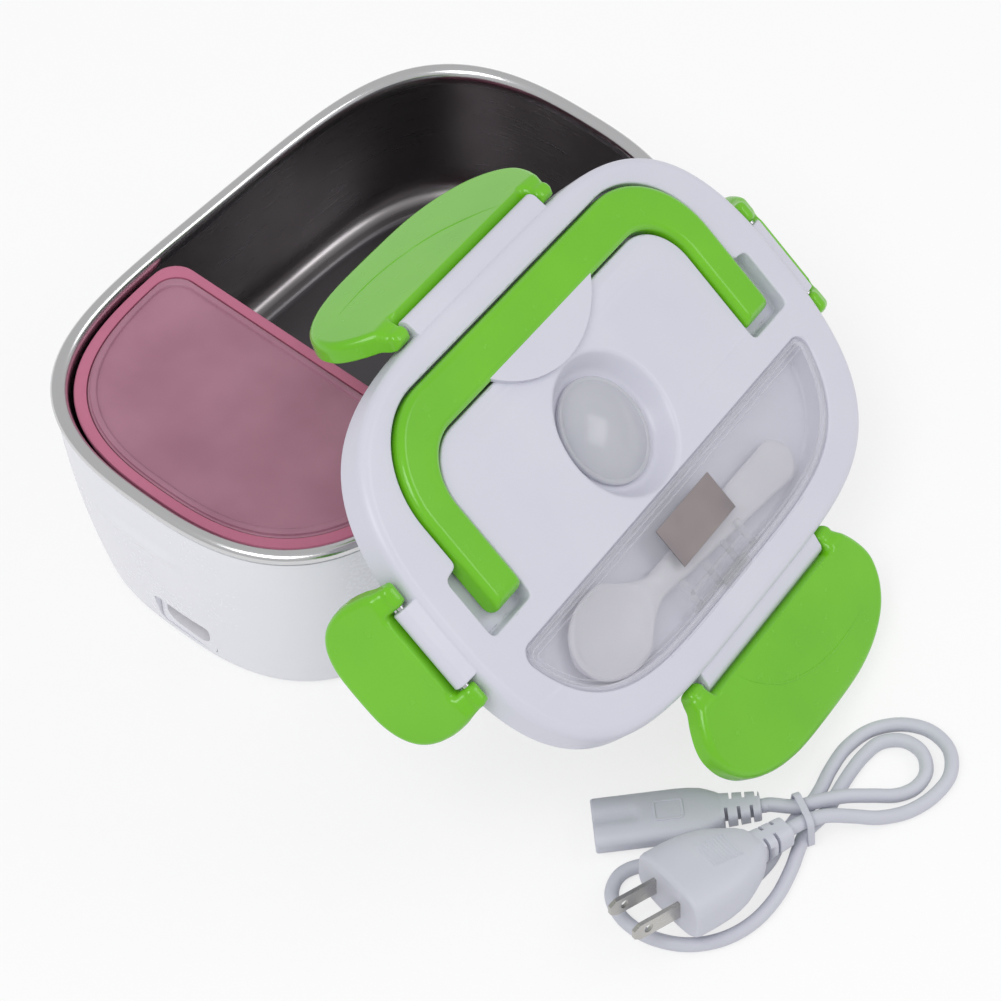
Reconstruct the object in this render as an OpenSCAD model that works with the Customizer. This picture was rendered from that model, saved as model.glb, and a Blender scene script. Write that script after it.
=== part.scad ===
// Electric lunch box. The base stands open, the lid leans on its near rim and on the table,
// and the mains cord lies tied in a bow in front. Millimetres, +Z up.
// X runs along the long side and Y across it, +Y is the far side.
// The origin is the centre of the underside of the base.

/* [Base] */
// Length over the steel rim
base_l = 226; // [216:1:236]
// Width over the steel rim
base_w = 149; // [142:1:158]
// Height to the top of the steel rim
base_h = 82; // [78:1:88]
// How far the wall draws in at the bottom, each side
taper = 7.2; // [5:0.2:9]
// Wall of the plastic shell
shell_wall = 2.4; // [2:0.1:3]
// Inside height of the tray floor above the table
tray_floor = 25; // [24:0.5:28]

/* [Food container] */
// Where the straight cross wall stands, measured from the middle
cross_x = -27; // [-40:1:-15]
// Corner rounding of the container
box_round = 9; // [5:1:12]

/* [Lid] */
// Length of the lid
lid_l = 224; // [216:1:230]
// Width of the lid
lid_w = 143; // [138:1:148]
// Height of the lid's skirt
lid_t = 12; // [12:0.5:14]
// Where the middle of the lid's top face lies while the lid leans
lid_at = [3.3, -109.7, 90.85];
// Tilt of the leaning lid about X, Y and Z
lid_turn = [38.8, 11.3, 10.6];

/* [Handle] */
// Half width of the handle
handle_half = 90.5; // [86:0.5:92]
// Outer edge of the grip bar from the middle
handle_top = 60.5; // [57:0.5:61]
// Width of the handle's arms
arm_w = 14.5; // [12:0.5:16]
// Thickness of the handle
handle_t = 8; // [7:0.5:8.5]

/* [Latches] */
// Reach of the long latches from the hinge line
long_reach = 42; // [38:0.5:43]
// Reach of the short latches from the hinge line
short_reach = 32; // [28:0.5:34]
// Angle below the lid's plane at which the front latch rests
front_rest = 10; // [6:0.5:10]
// Angle below the lid's plane at which the back latch rests
back_rest = 66; // [50:1:80]
// Angle below the lid's plane at which the left latch rests
left_rest = 75; // [60:1:85]
// Angle below the lid's plane at which the right latch rests
right_rest = 60; // [50:1:80]

/* [Spoon] */
// Free length of the bay beyond both ends of the spoon
spoon_end_gap = 59; // [55:1:69]
// Free width of the bay beside the spoon's bowl
spoon_side_gap = 9.5; // [8.5:0.5:14]

/* [Cord] */
// Thickness of the cord
cord_d = 4.8; // [4:0.2:5]
// Height of the plug's front face above the table, at its middle
plug_z = 16.5; // [16:0.5:19]

/* [Hidden] */
eps = 0.01;
steps = 60;
// Roundness of the plan outline along the length and across it
pl = 2 / 4.43;
pw = 2 / 2.61;
hinge_n = -5.5;
long_v = lid_w / 2 + 3.1;
short_u = lid_l / 2 + 3.2;
knuckle_r = 3.1;
pin_r = 1.25;
comp_l = lid_l - 31;
comp_w = lid_w - 24;
comp_v = -21;
spoon_l = comp_l - spoon_end_gap;
bowl_w = comp_w / 2 + comp_v - spoon_side_gap;
spoon_u = 20.5 - comp_l / 2;
spoon_v = comp_v - bowl_w / 2 - 3.5;
cover_t = 1.6;
pivot_v = -3;
pivot_n = 1.5 - handle_t / 2;
handle_mid = 2.5 - handle_t / 2;
handle_pin_r = 1.4;
inlet_y = -6;
inlet_x = 7.6 - base_l / 2;
screw_x = base_l / 2 - 17.5;
screw_y = base_w / 2 - 44.5;
foot_x = base_l / 2 - 33;
foot_y = base_w / 2 - 28.5;
plate_x = base_l / 2 - 41;
plate_y = base_w / 2 - 36.5;
plate_screw_x = plate_x - 14;
plate_screw_y = plate_y - 10;
// The base on which the lid was laid, and where the lid touches its rim
laid_on = [226, 149, 82];
lid_touch = [81, -65, 82];
lid_place = [for (i = [0 : 2]) lid_at[i] + lid_touch[i] * ([base_l, base_w, base_h][i] / laid_on[i] - 1)];
inlet_z = 13;
white = [0.90, 0.90, 0.94];
green = [0.43, 0.76, 0.16];
steel = [0.70, 0.70, 0.72];
pink = [0.72, 0.36, 0.50];
mauve = [0.68, 0.48, 0.57, 0.75];
clear = [0.86, 0.87, 0.90, 0.35];
soft_grey = [0.80, 0.81, 0.85];
brass = [0.80, 0.66, 0.34];

// One closed outline of the plan shape, at height z
function ring(l, w, z) = [for (i = [0 : steps - 1]) let (t = 360 * i / steps, c = cos(t), s = sin(t))
    [l / 2 * sign(c) * pow(abs(c), pl), w / 2 * sign(s) * pow(abs(s), pw), z]];
function flat_ring(l, w) = [for (p = ring(l, w, 0)) [p[0], p[1]]];
// A rounded cross-section standing across X, e is its squareness
function cross_ring(w, h, x, e = 2.6, waist = 0, dz = 0) =
    [for (i = [0 : 31]) let (t = 360 * i / 32, c = cos(t), s = sin(t),
        y = w / 2 * sign(c) * pow(abs(c), 2 / e))
    [x, y, dz + h / 2 * sign(s) * pow(abs(s), 2 / e) * (1 - waist * exp(-y * y / 5))]];
function arc(cx, cy, r, a0, a1, n = 6) =
    [for (i = [0 : n]) let (a = a0 + (a1 - a0) * i / n) [cx + r * cos(a), cy + r * sin(a)]];
function box_pts(x0, x1, y0, y1, r) = concat(arc(x1 - r, y1 - r, r, 0, 90),
    arc(x0 + r, y1 - r, r, 90, 180), arc(x0 + r, y0 + r, r, 180, 270), arc(x1 - r, y0 + r, r, 270, 360));

// Skin over a row of outlines, closed with a flat face at each end
module loft(rings) {
    n = len(rings[0]);
    m = len(rings);
    polyhedron(
        points = [for (r = rings) for (p = r) p],
        faces = concat(
            [[for (i = [0 : n - 1]) i]],
            [[for (i = [n - 1 : -1 : 0]) (m - 1) * n + i]],
            [for (k = [0 : m - 2]) for (i = [0 : n - 1]) [k * n + i, (k + 1) * n + i, (k + 1) * n + (i + 1) % n]],
            [for (k = [0 : m - 2]) for (i = [0 : n - 1]) [k * n + i, (k + 1) * n + (i + 1) % n, k * n + (i + 1) % n]]),
        convexity = 6);
}

// Skin over a row of outlines whose last one joins the first, such as a hollow wall
module band(rings) {
    n = len(rings[0]);
    m = len(rings);
    polyhedron(
        points = [for (r = rings) for (p = r) p],
        faces = concat(
            [for (k = [0 : m - 1]) for (i = [0 : n - 1])
                [k * n + i, ((k + 1) % m) * n + i, ((k + 1) % m) * n + (i + 1) % n]],
            [for (k = [0 : m - 1]) for (i = [0 : n - 1])
                [k * n + i, ((k + 1) % m) * n + (i + 1) % n, k * n + (i + 1) % n]]),
        convexity = 6);
}

// Outlines of the base, each given as how far it lies inside the steel rim and its height
function base_rings(list) = [for (p = list) ring(base_l - 2 * p[0], base_w - 2 * p[0], p[1])];
function lid_rings(list) = [for (p = list) ring(lid_l - 2 * p[0], lid_w - 2 * p[0], p[1])];
function draw_in(z) = 0.9 + taper * pow(1 - z / base_h, 2.1);

// A smooth route through points, k steps between each pair
function pick(p, i) = p[max(0, min(len(p) - 1, i))];
function spline(p, i, t) = let (a = pick(p, i - 1), b = pick(p, i), c = pick(p, i + 1), d = pick(p, i + 2))
    0.5 * (2 * b + (c - a) * t + (2 * a - 5 * b + 4 * c - d) * t * t + (3 * b - a - 3 * c + d) * t * t * t);
function route(p, k) = concat([for (i = [0 : len(p) - 2]) for (j = [0 : k - 1]) spline(p, i, j / k)],
    [p[len(p) - 1]]);
function unit(v) = v / norm(v);
function heading(p, i) = i == 0 ? unit(p[1] - p[0])
    : i == len(p) - 1 ? unit(p[i] - p[i - 1]) : unit(p[i + 1] - p[i - 1]);
function side_of(p, i, s) = let (t = heading(p, i)) unit(s - (s * t) * t);
function sides_along(p, i, s, done) = i == len(p) ? done
    : let (n = side_of(p, i, s)) sides_along(p, i + 1, n, concat(done, [n]));

// One unbroken tube along a route
module tube(p, r, n = 8) {
    s = sides_along(p, 0, side_of(p, 0, [0.1, 0.2, 1]), []);
    loft([for (i = [0 : len(p) - 1]) let (t = heading(p, i), b = cross(t, s[i]))
        [for (k = [0 : n - 1]) let (a = 360 * k / n) p[i] + r * (cos(a) * s[i] + sin(a) * b)]]);
}

// A flat plate with its upper edge eased in two steps
module eased(t, e) {
    linear_extrude(height = t - e) children();
    translate([0, 0, t - e - eps]) linear_extrude(height = e * 0.55) offset(delta = -e * 0.25) children();
    translate([0, 0, t - e * 0.5]) linear_extrude(height = e * 0.5) offset(delta = -e * 0.75) children();
}

module at_lid() {
    translate(lid_place) rotate(lid_turn) children();
}

// Base, outside

module outer_shell() {
    zs = [2.6, 5, 14, 28, 44, 60, 77.3];
    outside = [for (z = zs) [draw_in(z), z]];
    inside = [for (z = [77.3, 60, 28, 5]) [draw_in(z) + shell_wall, z]];
    color(white)
    difference() {
        union() {
            band(base_rings(concat([[draw_in(1) + 1.2, 1]], outside, inside, [[draw_in(1) + shell_wall, 1]])));
            // Ledges that the latches catch on
            for (s = [-1, 1]) ledge([0, s * (base_w / 2 - 0.4), 56], [30, 0]);
            for (s = [-1, 1]) ledge([s * (base_l / 2 - 0.4), 6, 56], [0, 17]);
            // Posts for the screws of the cover
            for (x = [-screw_x, screw_x]) for (y = [-screw_y, screw_y]) translate([x, y, 3.8]) cylinder(r = 6.2, h = 12, $fn = 24);
        }
        translate([-base_l / 2 - 5, 0, 0]) rotate([90, 0, 90])
            linear_extrude(height = 22) polygon(box_pts(inlet_y - 13, inlet_y + 13, 5, 21, 3));
        for (x = [-screw_x, screw_x]) for (y = [-screw_y, screw_y]) translate([x, y, 3]) cylinder(r = 1.3, h = 10, $fn = 24);
    }
}

module ledge(at, half) {
    hull() for (s = [-1, 1]) translate(at + s * [half[0], half[1], 0])
        scale([half[0] > 0 ? 1 : 0.6, half[0] > 0 ? 0.6 : 1, 1]) sphere(r = 4.6, $fn = 16);
}

module bottom_cover() {
    edge = draw_in(3) + shell_wall + 0.3;
    color(white)
    difference() {
        union() {
            loft(base_rings([[edge + 0.3, 1], [edge, 3.5]]));
            cylinder(r = 30, h = 1.5, $fn = 60);
            for (x = [-plate_screw_x, plate_screw_x]) for (y = [-plate_screw_y, plate_screw_y]) translate([x, y, 3]) cylinder(r = 4.5, h = 16.9, $fn = 24);
        }
        for (x = [-screw_x, screw_x]) for (y = [-screw_y, screw_y]) translate([x, y, 0]) {
            cylinder(r = 1.6, h = 10, $fn = 24);
            cylinder(r = 3, h = 2.1, $fn = 24);
        }
        for (x = [-plate_screw_x, plate_screw_x]) for (y = [-plate_screw_y, plate_screw_y]) translate([x, y, 10]) cylinder(r = 1.3, h = 12, $fn = 24);
    }
}

module rubber_feet() {
    color([0.35, 0.35, 0.37])
    for (x = [-foot_x, foot_x]) for (y = [-foot_y, foot_y]) translate([x, y, 0]) cylinder(r1 = 7.4, r2 = 8, h = 1, $fn = 32);
}

// Four screws hold the cover, four more the heating plate
module case_screws() {
    color([0.6, 0.6, 0.62]) {
        for (x = [-screw_x, screw_x]) for (y = [-screw_y, screw_y]) translate([x, y, 0.6]) screw();
        for (x = [-plate_screw_x, plate_screw_x]) for (y = [-plate_screw_y, plate_screw_y]) translate([x, y, 23.6]) rotate([180, 0, 0]) screw();
    }
}

module screw() {
    difference() {
        union() {
            cylinder(r = 2.7, h = 1.5, $fn = 24);
            cylinder(r = 1.25, h = 11, $fn = 24);
        }
        for (a = [0, 90]) rotate([0, 0, a]) translate([-1.6, -0.3, -1]) cube([3.2, 0.6, 1.6]);
    }
}

// Base, inside

module heating_plate() {
    color([0.76, 0.77, 0.79])
    difference() {
        translate([0, 0, 19.9]) linear_extrude(height = 3.8) polygon(box_pts(-plate_x, plate_x, -plate_y, plate_y, 12));
        for (x = [-plate_screw_x, plate_screw_x]) for (y = [-plate_screw_y, plate_screw_y]) translate([x, y, 19]) {
            cylinder(r = 1.5, h = 9, $fn = 24);
            translate([0, 0, 3]) cylinder(r = 3, h = 3, $fn = 24);
        }
    }
}

module heater_element() {
    color([0.55, 0.42, 0.34]) {
        translate([-34, -11, 14]) cube([68, 22, 5.9]);
        for (y = [-6, 6]) translate([-42, y - 2, 16]) cube([8.01, 4, 0.8]);
    }
}

module heater_clamp() {
    color(steel) {
        translate([-9, -20, 0]) rotate([90, 0, 90]) linear_extrude(height = 18)
            polygon([[0, 18.7], [7.6, 18.7], [7.6, 12.5], [32.4, 12.5], [32.4, 18.7], [40, 18.7],
                [40, 19.9], [31.2, 19.9], [31.2, 13.7], [8.8, 13.7], [8.8, 19.9], [0, 19.9]]);
    }
}

module thermostat() {
    color([0.25, 0.25, 0.27])
    translate([47, 0, 12.6]) {
        cylinder(r = 8.2, h = 7.3, $fn = 36);
        for (y = [-4, 4]) translate([-0.4, y - 2, -4]) cube([0.8, 4, 4.01]);
    }
}

module thermal_fuse() {
    color([0.85, 0.80, 0.70])
    translate([-12, 30, 17.6]) rotate([0, 90, 0]) {
        cylinder(r = 2.2, h = 24, $fn = 24);
        translate([0, 0, -5]) cylinder(r = 0.6, h = 34, $fn = 12);
    }
}

module inlet_socket() {
    color(white)
    difference() {
        translate([inlet_x, 0, 0]) rotate([90, 0, 90]) linear_extrude(height = 18)
            polygon(box_pts(inlet_y - 12.7, inlet_y + 12.7, 5.3, 20.7, 2.7));
        translate([inlet_x - 4.6, 0, 0]) rotate([90, 0, 90]) linear_extrude(height = 17.5)
            polygon(box_pts(inlet_y - 10.1, inlet_y + 10.1, inlet_z - 5.1, inlet_z + 5.1, 4.9));
        for (y = [-4.3, 4.3]) translate([inlet_x + 10.4, inlet_y + y, inlet_z]) rotate([0, 90, 0])
            cylinder(r = 1.25, h = 20, $fn = 24);
    }
}

module inlet_pins() {
    color(brass)
    for (y = [-4.3, 4.3]) translate([inlet_x + 2.4, inlet_y + y, inlet_z]) rotate([0, 90, 0])
        cylinder(r = 1.2, h = 18.5, $fn = 24);
}

module wiring() {
    e = inlet_x + 21.6;
    runs = [
        [[e, -10.3, 13], [e + 4, -12, 12], [e + 16, -16, 9], [-55, -14, 8], [-46, -7, 12], [-42, -6, 14.7]],
        [[e, -1.7, 13], [e + 6, 4, 12], [e + 18, 16, 10], [-50, 26, 11], [-34, 30, 15], [-17.4, 30, 17.6]],
        [[17.4, 30, 17.6], [28, 29, 16], [40, 22, 10], [47, 12, 7], [47, 6.8, 9]],
        [[47, -6.8, 9], [42, -18, 7], [20, -26, 7], [-15, -24, 7], [-38, -14, 8], [-45, 2, 11], [-42, 6, 14.7]]];
    color([0.85, 0.85, 0.80])
    for (w = runs) tube(route(w, 3), 1.1, 6);
}

// Steel tray with a rolled rim

module steel_tray() {
    f = tray_floor;
    outside = [[17.5, f - 0.9], [14.2, f - 0.7], [10.4, f + 1.2], [7.9, f + 5.5], [6.8, f + 11], [5.6, 52], [4.5, 74]];
    roll = [[4.1, 77.4], [2.4, 77.6], [0.8, 78.3], [0, 79.8], [0.7, 81.3], [2.3, 82], [3.9, 81.5], [4.9, 80.2]];
    inside = [[5.3, 77], [6.5, 52], [7.7, f + 11], [8.8, f + 6], [11, f + 2.2], [14.5, f + 0.2], [17.5, f]];
    up = base_h - 82;
    color(steel)
    loft(base_rings([for (p = concat(outside, roll, inside)) [p[0], p[1] > 60 ? p[1] + up : p[1]]]));
}

// Food container that fills the left end of the tray, and its lid

module d_shape(inset) {
    offset(r = box_round) offset(delta = -box_round)
    intersection() {
        polygon(flat_ring(base_l - 2 * inset, base_w - 2 * inset));
        translate([-base_l, -base_w]) square([base_l + cross_x - inset + 6.6, 2 * base_w]);
    }
}

module slice(inset, z, t) {
    translate([0, 0, z]) linear_extrude(height = t) d_shape(inset);
}

module food_container() {
    f = tray_floor;
    top = base_h - 4;
    color(pink)
    difference() {
        union() {
            hull() {
                slice(16.5, f + 0.3, 0.1);
                slice(12.6, f + 3, 0.1);
                slice(10.6, f + 7, 0.1);
                slice(9, top - 1, 0.1);
            }
            slice(6.6, top - 2.4, 2.4);
        }
        hull() {
            slice(18, f + 1.9, 0.1);
            slice(14.4, f + 4.6, 0.1);
            slice(12.4, f + 8, 0.1);
            slice(12, top - 2.4, 0.1);
        }
        slice(12, top - 3, 4);
        slice(10.4, top - 1.7, 2);
    }
}

module container_lid() {
    top = base_h - 4;
    color(mauve)
    difference() {
        union() {
            slice(10.7, top - 1.4, 1);
            // Raised lip near the edge
            difference() {
                slice(11.4, top - 0.5, 1.2);
                slice(13.4, top - 1, 3);
            }
            translate([-58, -56, top - 0.9]) linear_extrude(height = 1.6) polygon(box_pts(-9, 9, -4, 4, 3.5));
        }
        // Shallow pressed curve
        translate([cross_x + 4, 0, top - 0.75]) difference() {
            cylinder(r = 38, h = 2, $fn = 64);
            translate([0, 0, -1]) cylinder(r = 36.8, h = 4, $fn = 64);
            translate([-12, -60, -1]) cube([60, 120, 4]);
        }
    }
}

// Lid

module handle_plan(grow = 0) {
    h = handle_half + grow;
    i = handle_half - arm_w - grow;
    t = handle_top + grow;
    difference() {
        polygon(concat([[h, -7 - grow]], arc(h - 33, t - 33, 33, 0, 90, 9), arc(33 - h, t - 33, 33, 90, 180, 9),
            [[-h, -7 - grow]]));
        polygon(concat([[i, -30]], arc(i - 19, t - 16 - 2 * grow - 19, 19, 0, 90, 8),
            arc(19 - i, t - 16 - 2 * grow - 19, 19, 90, 180, 8), [[-i, -30]]));
    }
}

module comp_plan(grow = 0) {
    offset(r = 3) offset(delta = -3)
    intersection() {
        polygon(flat_ring(comp_l + 2 * grow, comp_w + 2 * grow));
        translate([-lid_l, -lid_w]) square([2 * lid_l, lid_w + comp_v + grow]);
    }
}

// Lug that carries a latch, with its rounded nose on the hinge line
module lug(half, at) {
    translate([half, 0, 0]) rotate([90, 0, -90]) linear_extrude(height = 2 * half)
        polygon(concat([[-6, -3.1]], arc(0, 0, 3.1, -90, 80, 10), [[-6, 4.2]]));
}

// Moves a piece from its hinge line at the origin to one of the four edges of the lid
module to_edge(side) {
    if (side == "front") translate([0, -long_v, hinge_n]) children();
    if (side == "back") translate([0, long_v, hinge_n]) rotate([0, 0, 180]) children();
    if (side == "left") translate([-short_u, 0, hinge_n]) rotate([0, 0, -90]) children();
    if (side == "right") translate([short_u, 0, hinge_n]) rotate([0, 0, 90]) children();
}

module lid_shell() {
    color(white)
    at_lid() difference() {
        union() {
            loft(lid_rings([[0.5, -lid_t], [0, 0.8 - lid_t], [0, -3.4], [0.4, -1.8], [1.4, -0.6], [3.2, 0]]));
            for (s = ["front", "back"]) to_edge(s) lug(40, 0);
            for (s = ["left", "right"]) to_edge(s) lug(15, 0);
        }
        // Channel for the handle, with finger pockets beside the arm ends
        translate([0, 0, -6]) linear_extrude(height = 8) handle_plan(0.9);
        for (s = [-1, 1]) translate([s * 90.2 - 8, -11.4, -7.3]) cube([16, 23.4, 10]);
        for (s = [-1, 1]) translate([s * 83.2 - 8.2, -11.4, -7.3]) cube([16.4, 14, 10]);
        // Dish of the vent, with the seat of its plug
        translate([0, 5, -8]) cylinder(r1 = 20.5, r2 = 26.7, h = 8.01, $fn = 60);
        translate([0, 5, -lid_t - 1]) cylinder(r = 3.3, h = 8, $fn = 24);
        // Finger scoop below the grip bar
        translate([0, 46, 34.2]) intersection() {
            sphere(r = 41.5, $fn = 60);
            translate([-40, -40, -60]) cube([80, 80, 30]);
        }
        // Spoon compartment with the rebate of its cover
        translate([0, 0, -8.6]) linear_extrude(height = 10) comp_plan(-2);
        translate([0, 0, -cover_t - 0.3]) linear_extrude(height = 4) comp_plan(0);
        // Square ends beside the hinge, where the cover's corners turn up
        translate([0, 0, -cover_t - 0.3]) linear_extrude(height = 4) intersection() {
            polygon(flat_ring(comp_l, comp_w));
            translate([-lid_l, comp_v - 3]) square([2 * lid_l, 3]);
        }
        for (s = [-1, 1]) translate([s * (comp_l / 2 - 6), comp_v - 1.2, -0.8 - 0.1]) rotate([0, 90, 0])
            cylinder(r = 0.95, h = 12, center = true, $fn = 24);
        translate([0, -comp_w / 2, -1]) linear_extrude(height = 3) polygon(box_pts(-9, 9, -2, 4, 1.5));
        // Rebate for the liner
        translate([0, 0, -lid_t - 1]) linear_extrude(height = 3) polygon(flat_ring(lid_l - 7, lid_w - 7));
        // Bores of the handle pins and the latch pins
        for (s = [-1, 1]) translate([s * 73, pivot_v, pivot_n]) rotate([0, 90, 0])
            cylinder(r = handle_pin_r + 0.05, h = 12, center = true, $fn = 24);
        for (s = [-1, 1]) translate([-60, s * long_v, hinge_n]) rotate([0, 90, 0])
            cylinder(r = pin_r + 0.05, h = 120, $fn = 24);
        for (s = [-1, 1]) translate([s * short_u, 30, hinge_n]) rotate([90, 0, 0])
            cylinder(r = pin_r + 0.05, h = 60, $fn = 24);
    }
}

module lid_liner() {
    color([0.86, 0.86, 0.90])
    at_lid() difference() {
        translate([0, 0, -lid_t]) linear_extrude(height = 2 - 0.1) polygon(flat_ring(lid_l - 7.8, lid_w - 7.8));
        // Groove of the seal
        translate([0, 0, -lid_t - 1]) linear_extrude(height = 2.3) difference() {
            polygon(flat_ring(lid_l - 11, lid_w - 11));
            polygon(flat_ring(lid_l - 21, lid_w - 21));
        }
        translate([0, 5, -lid_t - 1]) cylinder(r = 3.3, h = 8, $fn = 24);
    }
}

module lid_seal() {
    color([0.93, 0.93, 0.95])
    at_lid() translate([0, 0, -lid_t]) linear_extrude(height = 1.2) difference() {
        polygon(flat_ring(lid_l - 11.6, lid_w - 11.6));
        polygon(flat_ring(lid_l - 20.4, lid_w - 20.4));
    }
}

module carry_handle() {
    color(green)
    at_lid() difference() {
        intersection() {
            translate([0, 0, 2.5 - handle_t]) eased(handle_t, 2) handle_plan(0);
            // Arm ends are round about the pins
            rotate([90, 0, -90]) linear_extrude(height = 200, center = true)
                polygon(concat([[-70, 2.5 - handle_t]], [for (p = arc(-pivot_v, handle_mid, handle_t / 2, -90, 90, 12)) p],
                    [[-70, 2.5]]));
        }
        for (s = [-1, 1]) translate([s * 78, pivot_v, pivot_n]) rotate([0, 90, 0])
            cylinder(r = handle_pin_r + 0.05, h = 14, center = true, $fn = 24);
    }
}

module handle_pins() {
    color(steel)
    at_lid() for (s = [-1, 1]) translate([s * 76, pivot_v, pivot_n]) rotate([0, 90, 0])
        cylinder(r = handle_pin_r, h = 15, center = true, $fn = 24);
}

module vent_plug() {
    color([0.90, 0.91, 0.94, 0.6])
    at_lid() translate([0, 5, -7.7]) {
        cylinder(r = 18.9, h = 1.6, $fn = 48);
        intersection() {
            translate([0, 0, -26.6]) sphere(r = 33, $fn = 72);
            translate([0, 0, 1.5]) cylinder(r = 17.9, h = 8, $fn = 48);
        }
        translate([0, 0, -4.3]) cylinder(r = 3, h = 4.4, $fn = 24);
    }
}

module spoon_cover() {
    color(clear)
    at_lid() difference() {
        union() {
            translate([0, 0, -cover_t]) linear_extrude(height = cover_t) difference() {
                comp_plan(-0.35);
                translate([-lid_l, comp_v - 1.2]) square([2 * lid_l, 10]);
            }
            translate([0, comp_v - 1.2, -0.8]) rotate([0, 90, 0]) cylinder(r = 0.78, h = comp_l - 16, center = true, $fn = 24);
            for (s = [-1, 1]) translate([s * (comp_l / 2 - 7), comp_v - 1.2, -0.8]) rotate([0, 90, 0])
                cylinder(r = 0.7, h = 8, center = true, $fn = 24);
            // Snap tab at the middle of the curved side
            translate([0, -comp_w / 2, -0.8]) linear_extrude(height = 0.8) polygon(box_pts(-8, 8, -1.6, 4, 1.4));
            translate([0, -comp_w / 2 + 5, -cover_t - 2]) linear_extrude(height = 2.2) polygon(box_pts(-11, 11, -1.2, 1.2, 1));
        }
        translate([0, -comp_w / 2 + 8.5, -0.5]) linear_extrude(height = 2) polygon(box_pts(-14, 14, -0.5, 0.5, 0.45));
    }
}

module foil_patch() {
    color([0.66, 0.62, 0.62])
    at_lid() translate([0, -36, 0]) linear_extrude(height = 0.2) square([35, 15], center = true);
}

function spoon_half(x) = x < 10 ? sqrt(max(0, 1 - pow((x - 21) / 21, 2))) * bowl_w / 2
    : x < 30 ? sqrt(1 - pow((x - 21) / 23, 2)) * bowl_w / 2
    : x < 48 ? 4.4 + (bowl_w / 2 * 0.92 - 4.4) * pow((48 - x) / 18, 1.6)
    : x < spoon_l - 7 ? 4.4 + 3.4 * (x - 48) / (spoon_l - 55)
    : 7.8 * sqrt(max(0, 1 - pow((x - spoon_l + 7) / 7, 2))) + 0.05;

module spoon() {
    xs = [for (i = [0 : 40]) let (t = i / 40) spoon_l * (t - 0.08 * sin(360 * t))];
    color([0.91, 0.91, 0.94])
    at_lid() translate([spoon_u, spoon_v, -8.2]) rotate([0, 0, -3]) difference() {
        union() {
            translate([0, 0, 2.4]) linear_extrude(height = 2.2)
                polygon(concat([for (x = xs) [x, -spoon_half(x)]],
                    [for (i = [39 : -1 : 1]) [xs[i], spoon_half(xs[i])]]));
            translate([21, 0, 4.5]) scale([20 / 20, bowl_w / 42, 4.4 / 20]) difference() {
                sphere(r = 20, $fn = 40);
                translate([-30, -30, 0]) cube([60, 60, 30]);
            }
        }
        translate([21, 0, 4.61]) scale([18.6 / 20, (bowl_w - 3) / 42, 3.2 / 20]) sphere(r = 20, $fn = 40);
    }
}

// Latches, drawn with the hinge line on X and reaching towards -Y

function latch_edge(half, wide, reach) = [[half, 0], [half + 1.2, 2.5], [half + 0.5 * (wide - half), 8],
    [wide - 1.2, 0.33 * reach], [wide, 0.45 * reach], [wide, 0.62 * reach], [wide - 1.6, 0.74 * reach],
    [wide - 5, 0.86 * reach], [wide - 10.5, 0.94 * reach], [0.62 * wide, 0.98 * reach], [0.3 * wide, reach]];

module latch(half, wide, reach, inner) {
    e = latch_edge(half, wide, reach);
    plan = concat([for (p = e) [p[0], -p[1]]], [for (i = [len(e) - 1 : -1 : 0]) [-e[i][0], -e[i][1]]]);
    difference() {
        union() {
            translate([0, 0, -2]) eased(7.2, 1.6) polygon(plan);
            for (s = [-1, 1]) translate([s * (half + inner) / 2, 0, 0]) rotate([0, 90, 0])
                cylinder(r = knuckle_r, h = half - inner, center = true, $fn = 30);
        }
        // Room for the lug between the knuckles
        translate([-inner, -3.5, -10]) cube([2 * inner, 20, 20]);
        translate([-wide - 1, -2.6, 2.2]) cube([2 * wide + 2, 12, 9]);
        // Inner side is hollowed, with a hook left standing across it
        translate([0, 0, -3]) linear_extrude(height = 3.2) difference() {
            offset(delta = -3) polygon(plan);
            translate([-wide, -8]) square([2 * wide, 20]);
            translate([-wide * 0.6, -reach * 0.66]) square([wide * 1.2, 3]);
        }
        rotate([0, 90, 0]) cylinder(r = pin_r + 0.05, h = 2 * half + 10, center = true, $fn = 24);
    }
}

module front_latch() {
    color(green) at_lid() to_edge("front") rotate([front_rest, 0, 0]) latch(49, 61, long_reach, 41);
}

module back_latch() {
    color(green) at_lid() to_edge("back") rotate([back_rest, 0, 0]) latch(49, 61, long_reach, 41);
}

module left_latch() {
    color(green) at_lid() to_edge("left") rotate([left_rest, 0, 0]) latch(24, 27.5, short_reach, 16);
}

module right_latch() {
    color(green) at_lid() to_edge("right") rotate([right_rest, 0, 0]) latch(24, 27.5, short_reach, 16);
}

module latch_pins() {
    color(steel)
    at_lid() {
        for (s = ["front", "back"]) to_edge(s) rotate([0, 90, 0]) cylinder(r = pin_r, h = 97, center = true, $fn = 24);
        for (s = ["left", "right"]) to_edge(s) rotate([0, 90, 0]) cylinder(r = pin_r, h = 47, center = true, $fn = 24);
    }
}

// Cord set, lying on the table

conn_at = [-77, -161.3, 5];
conn_turn = 136;
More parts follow.
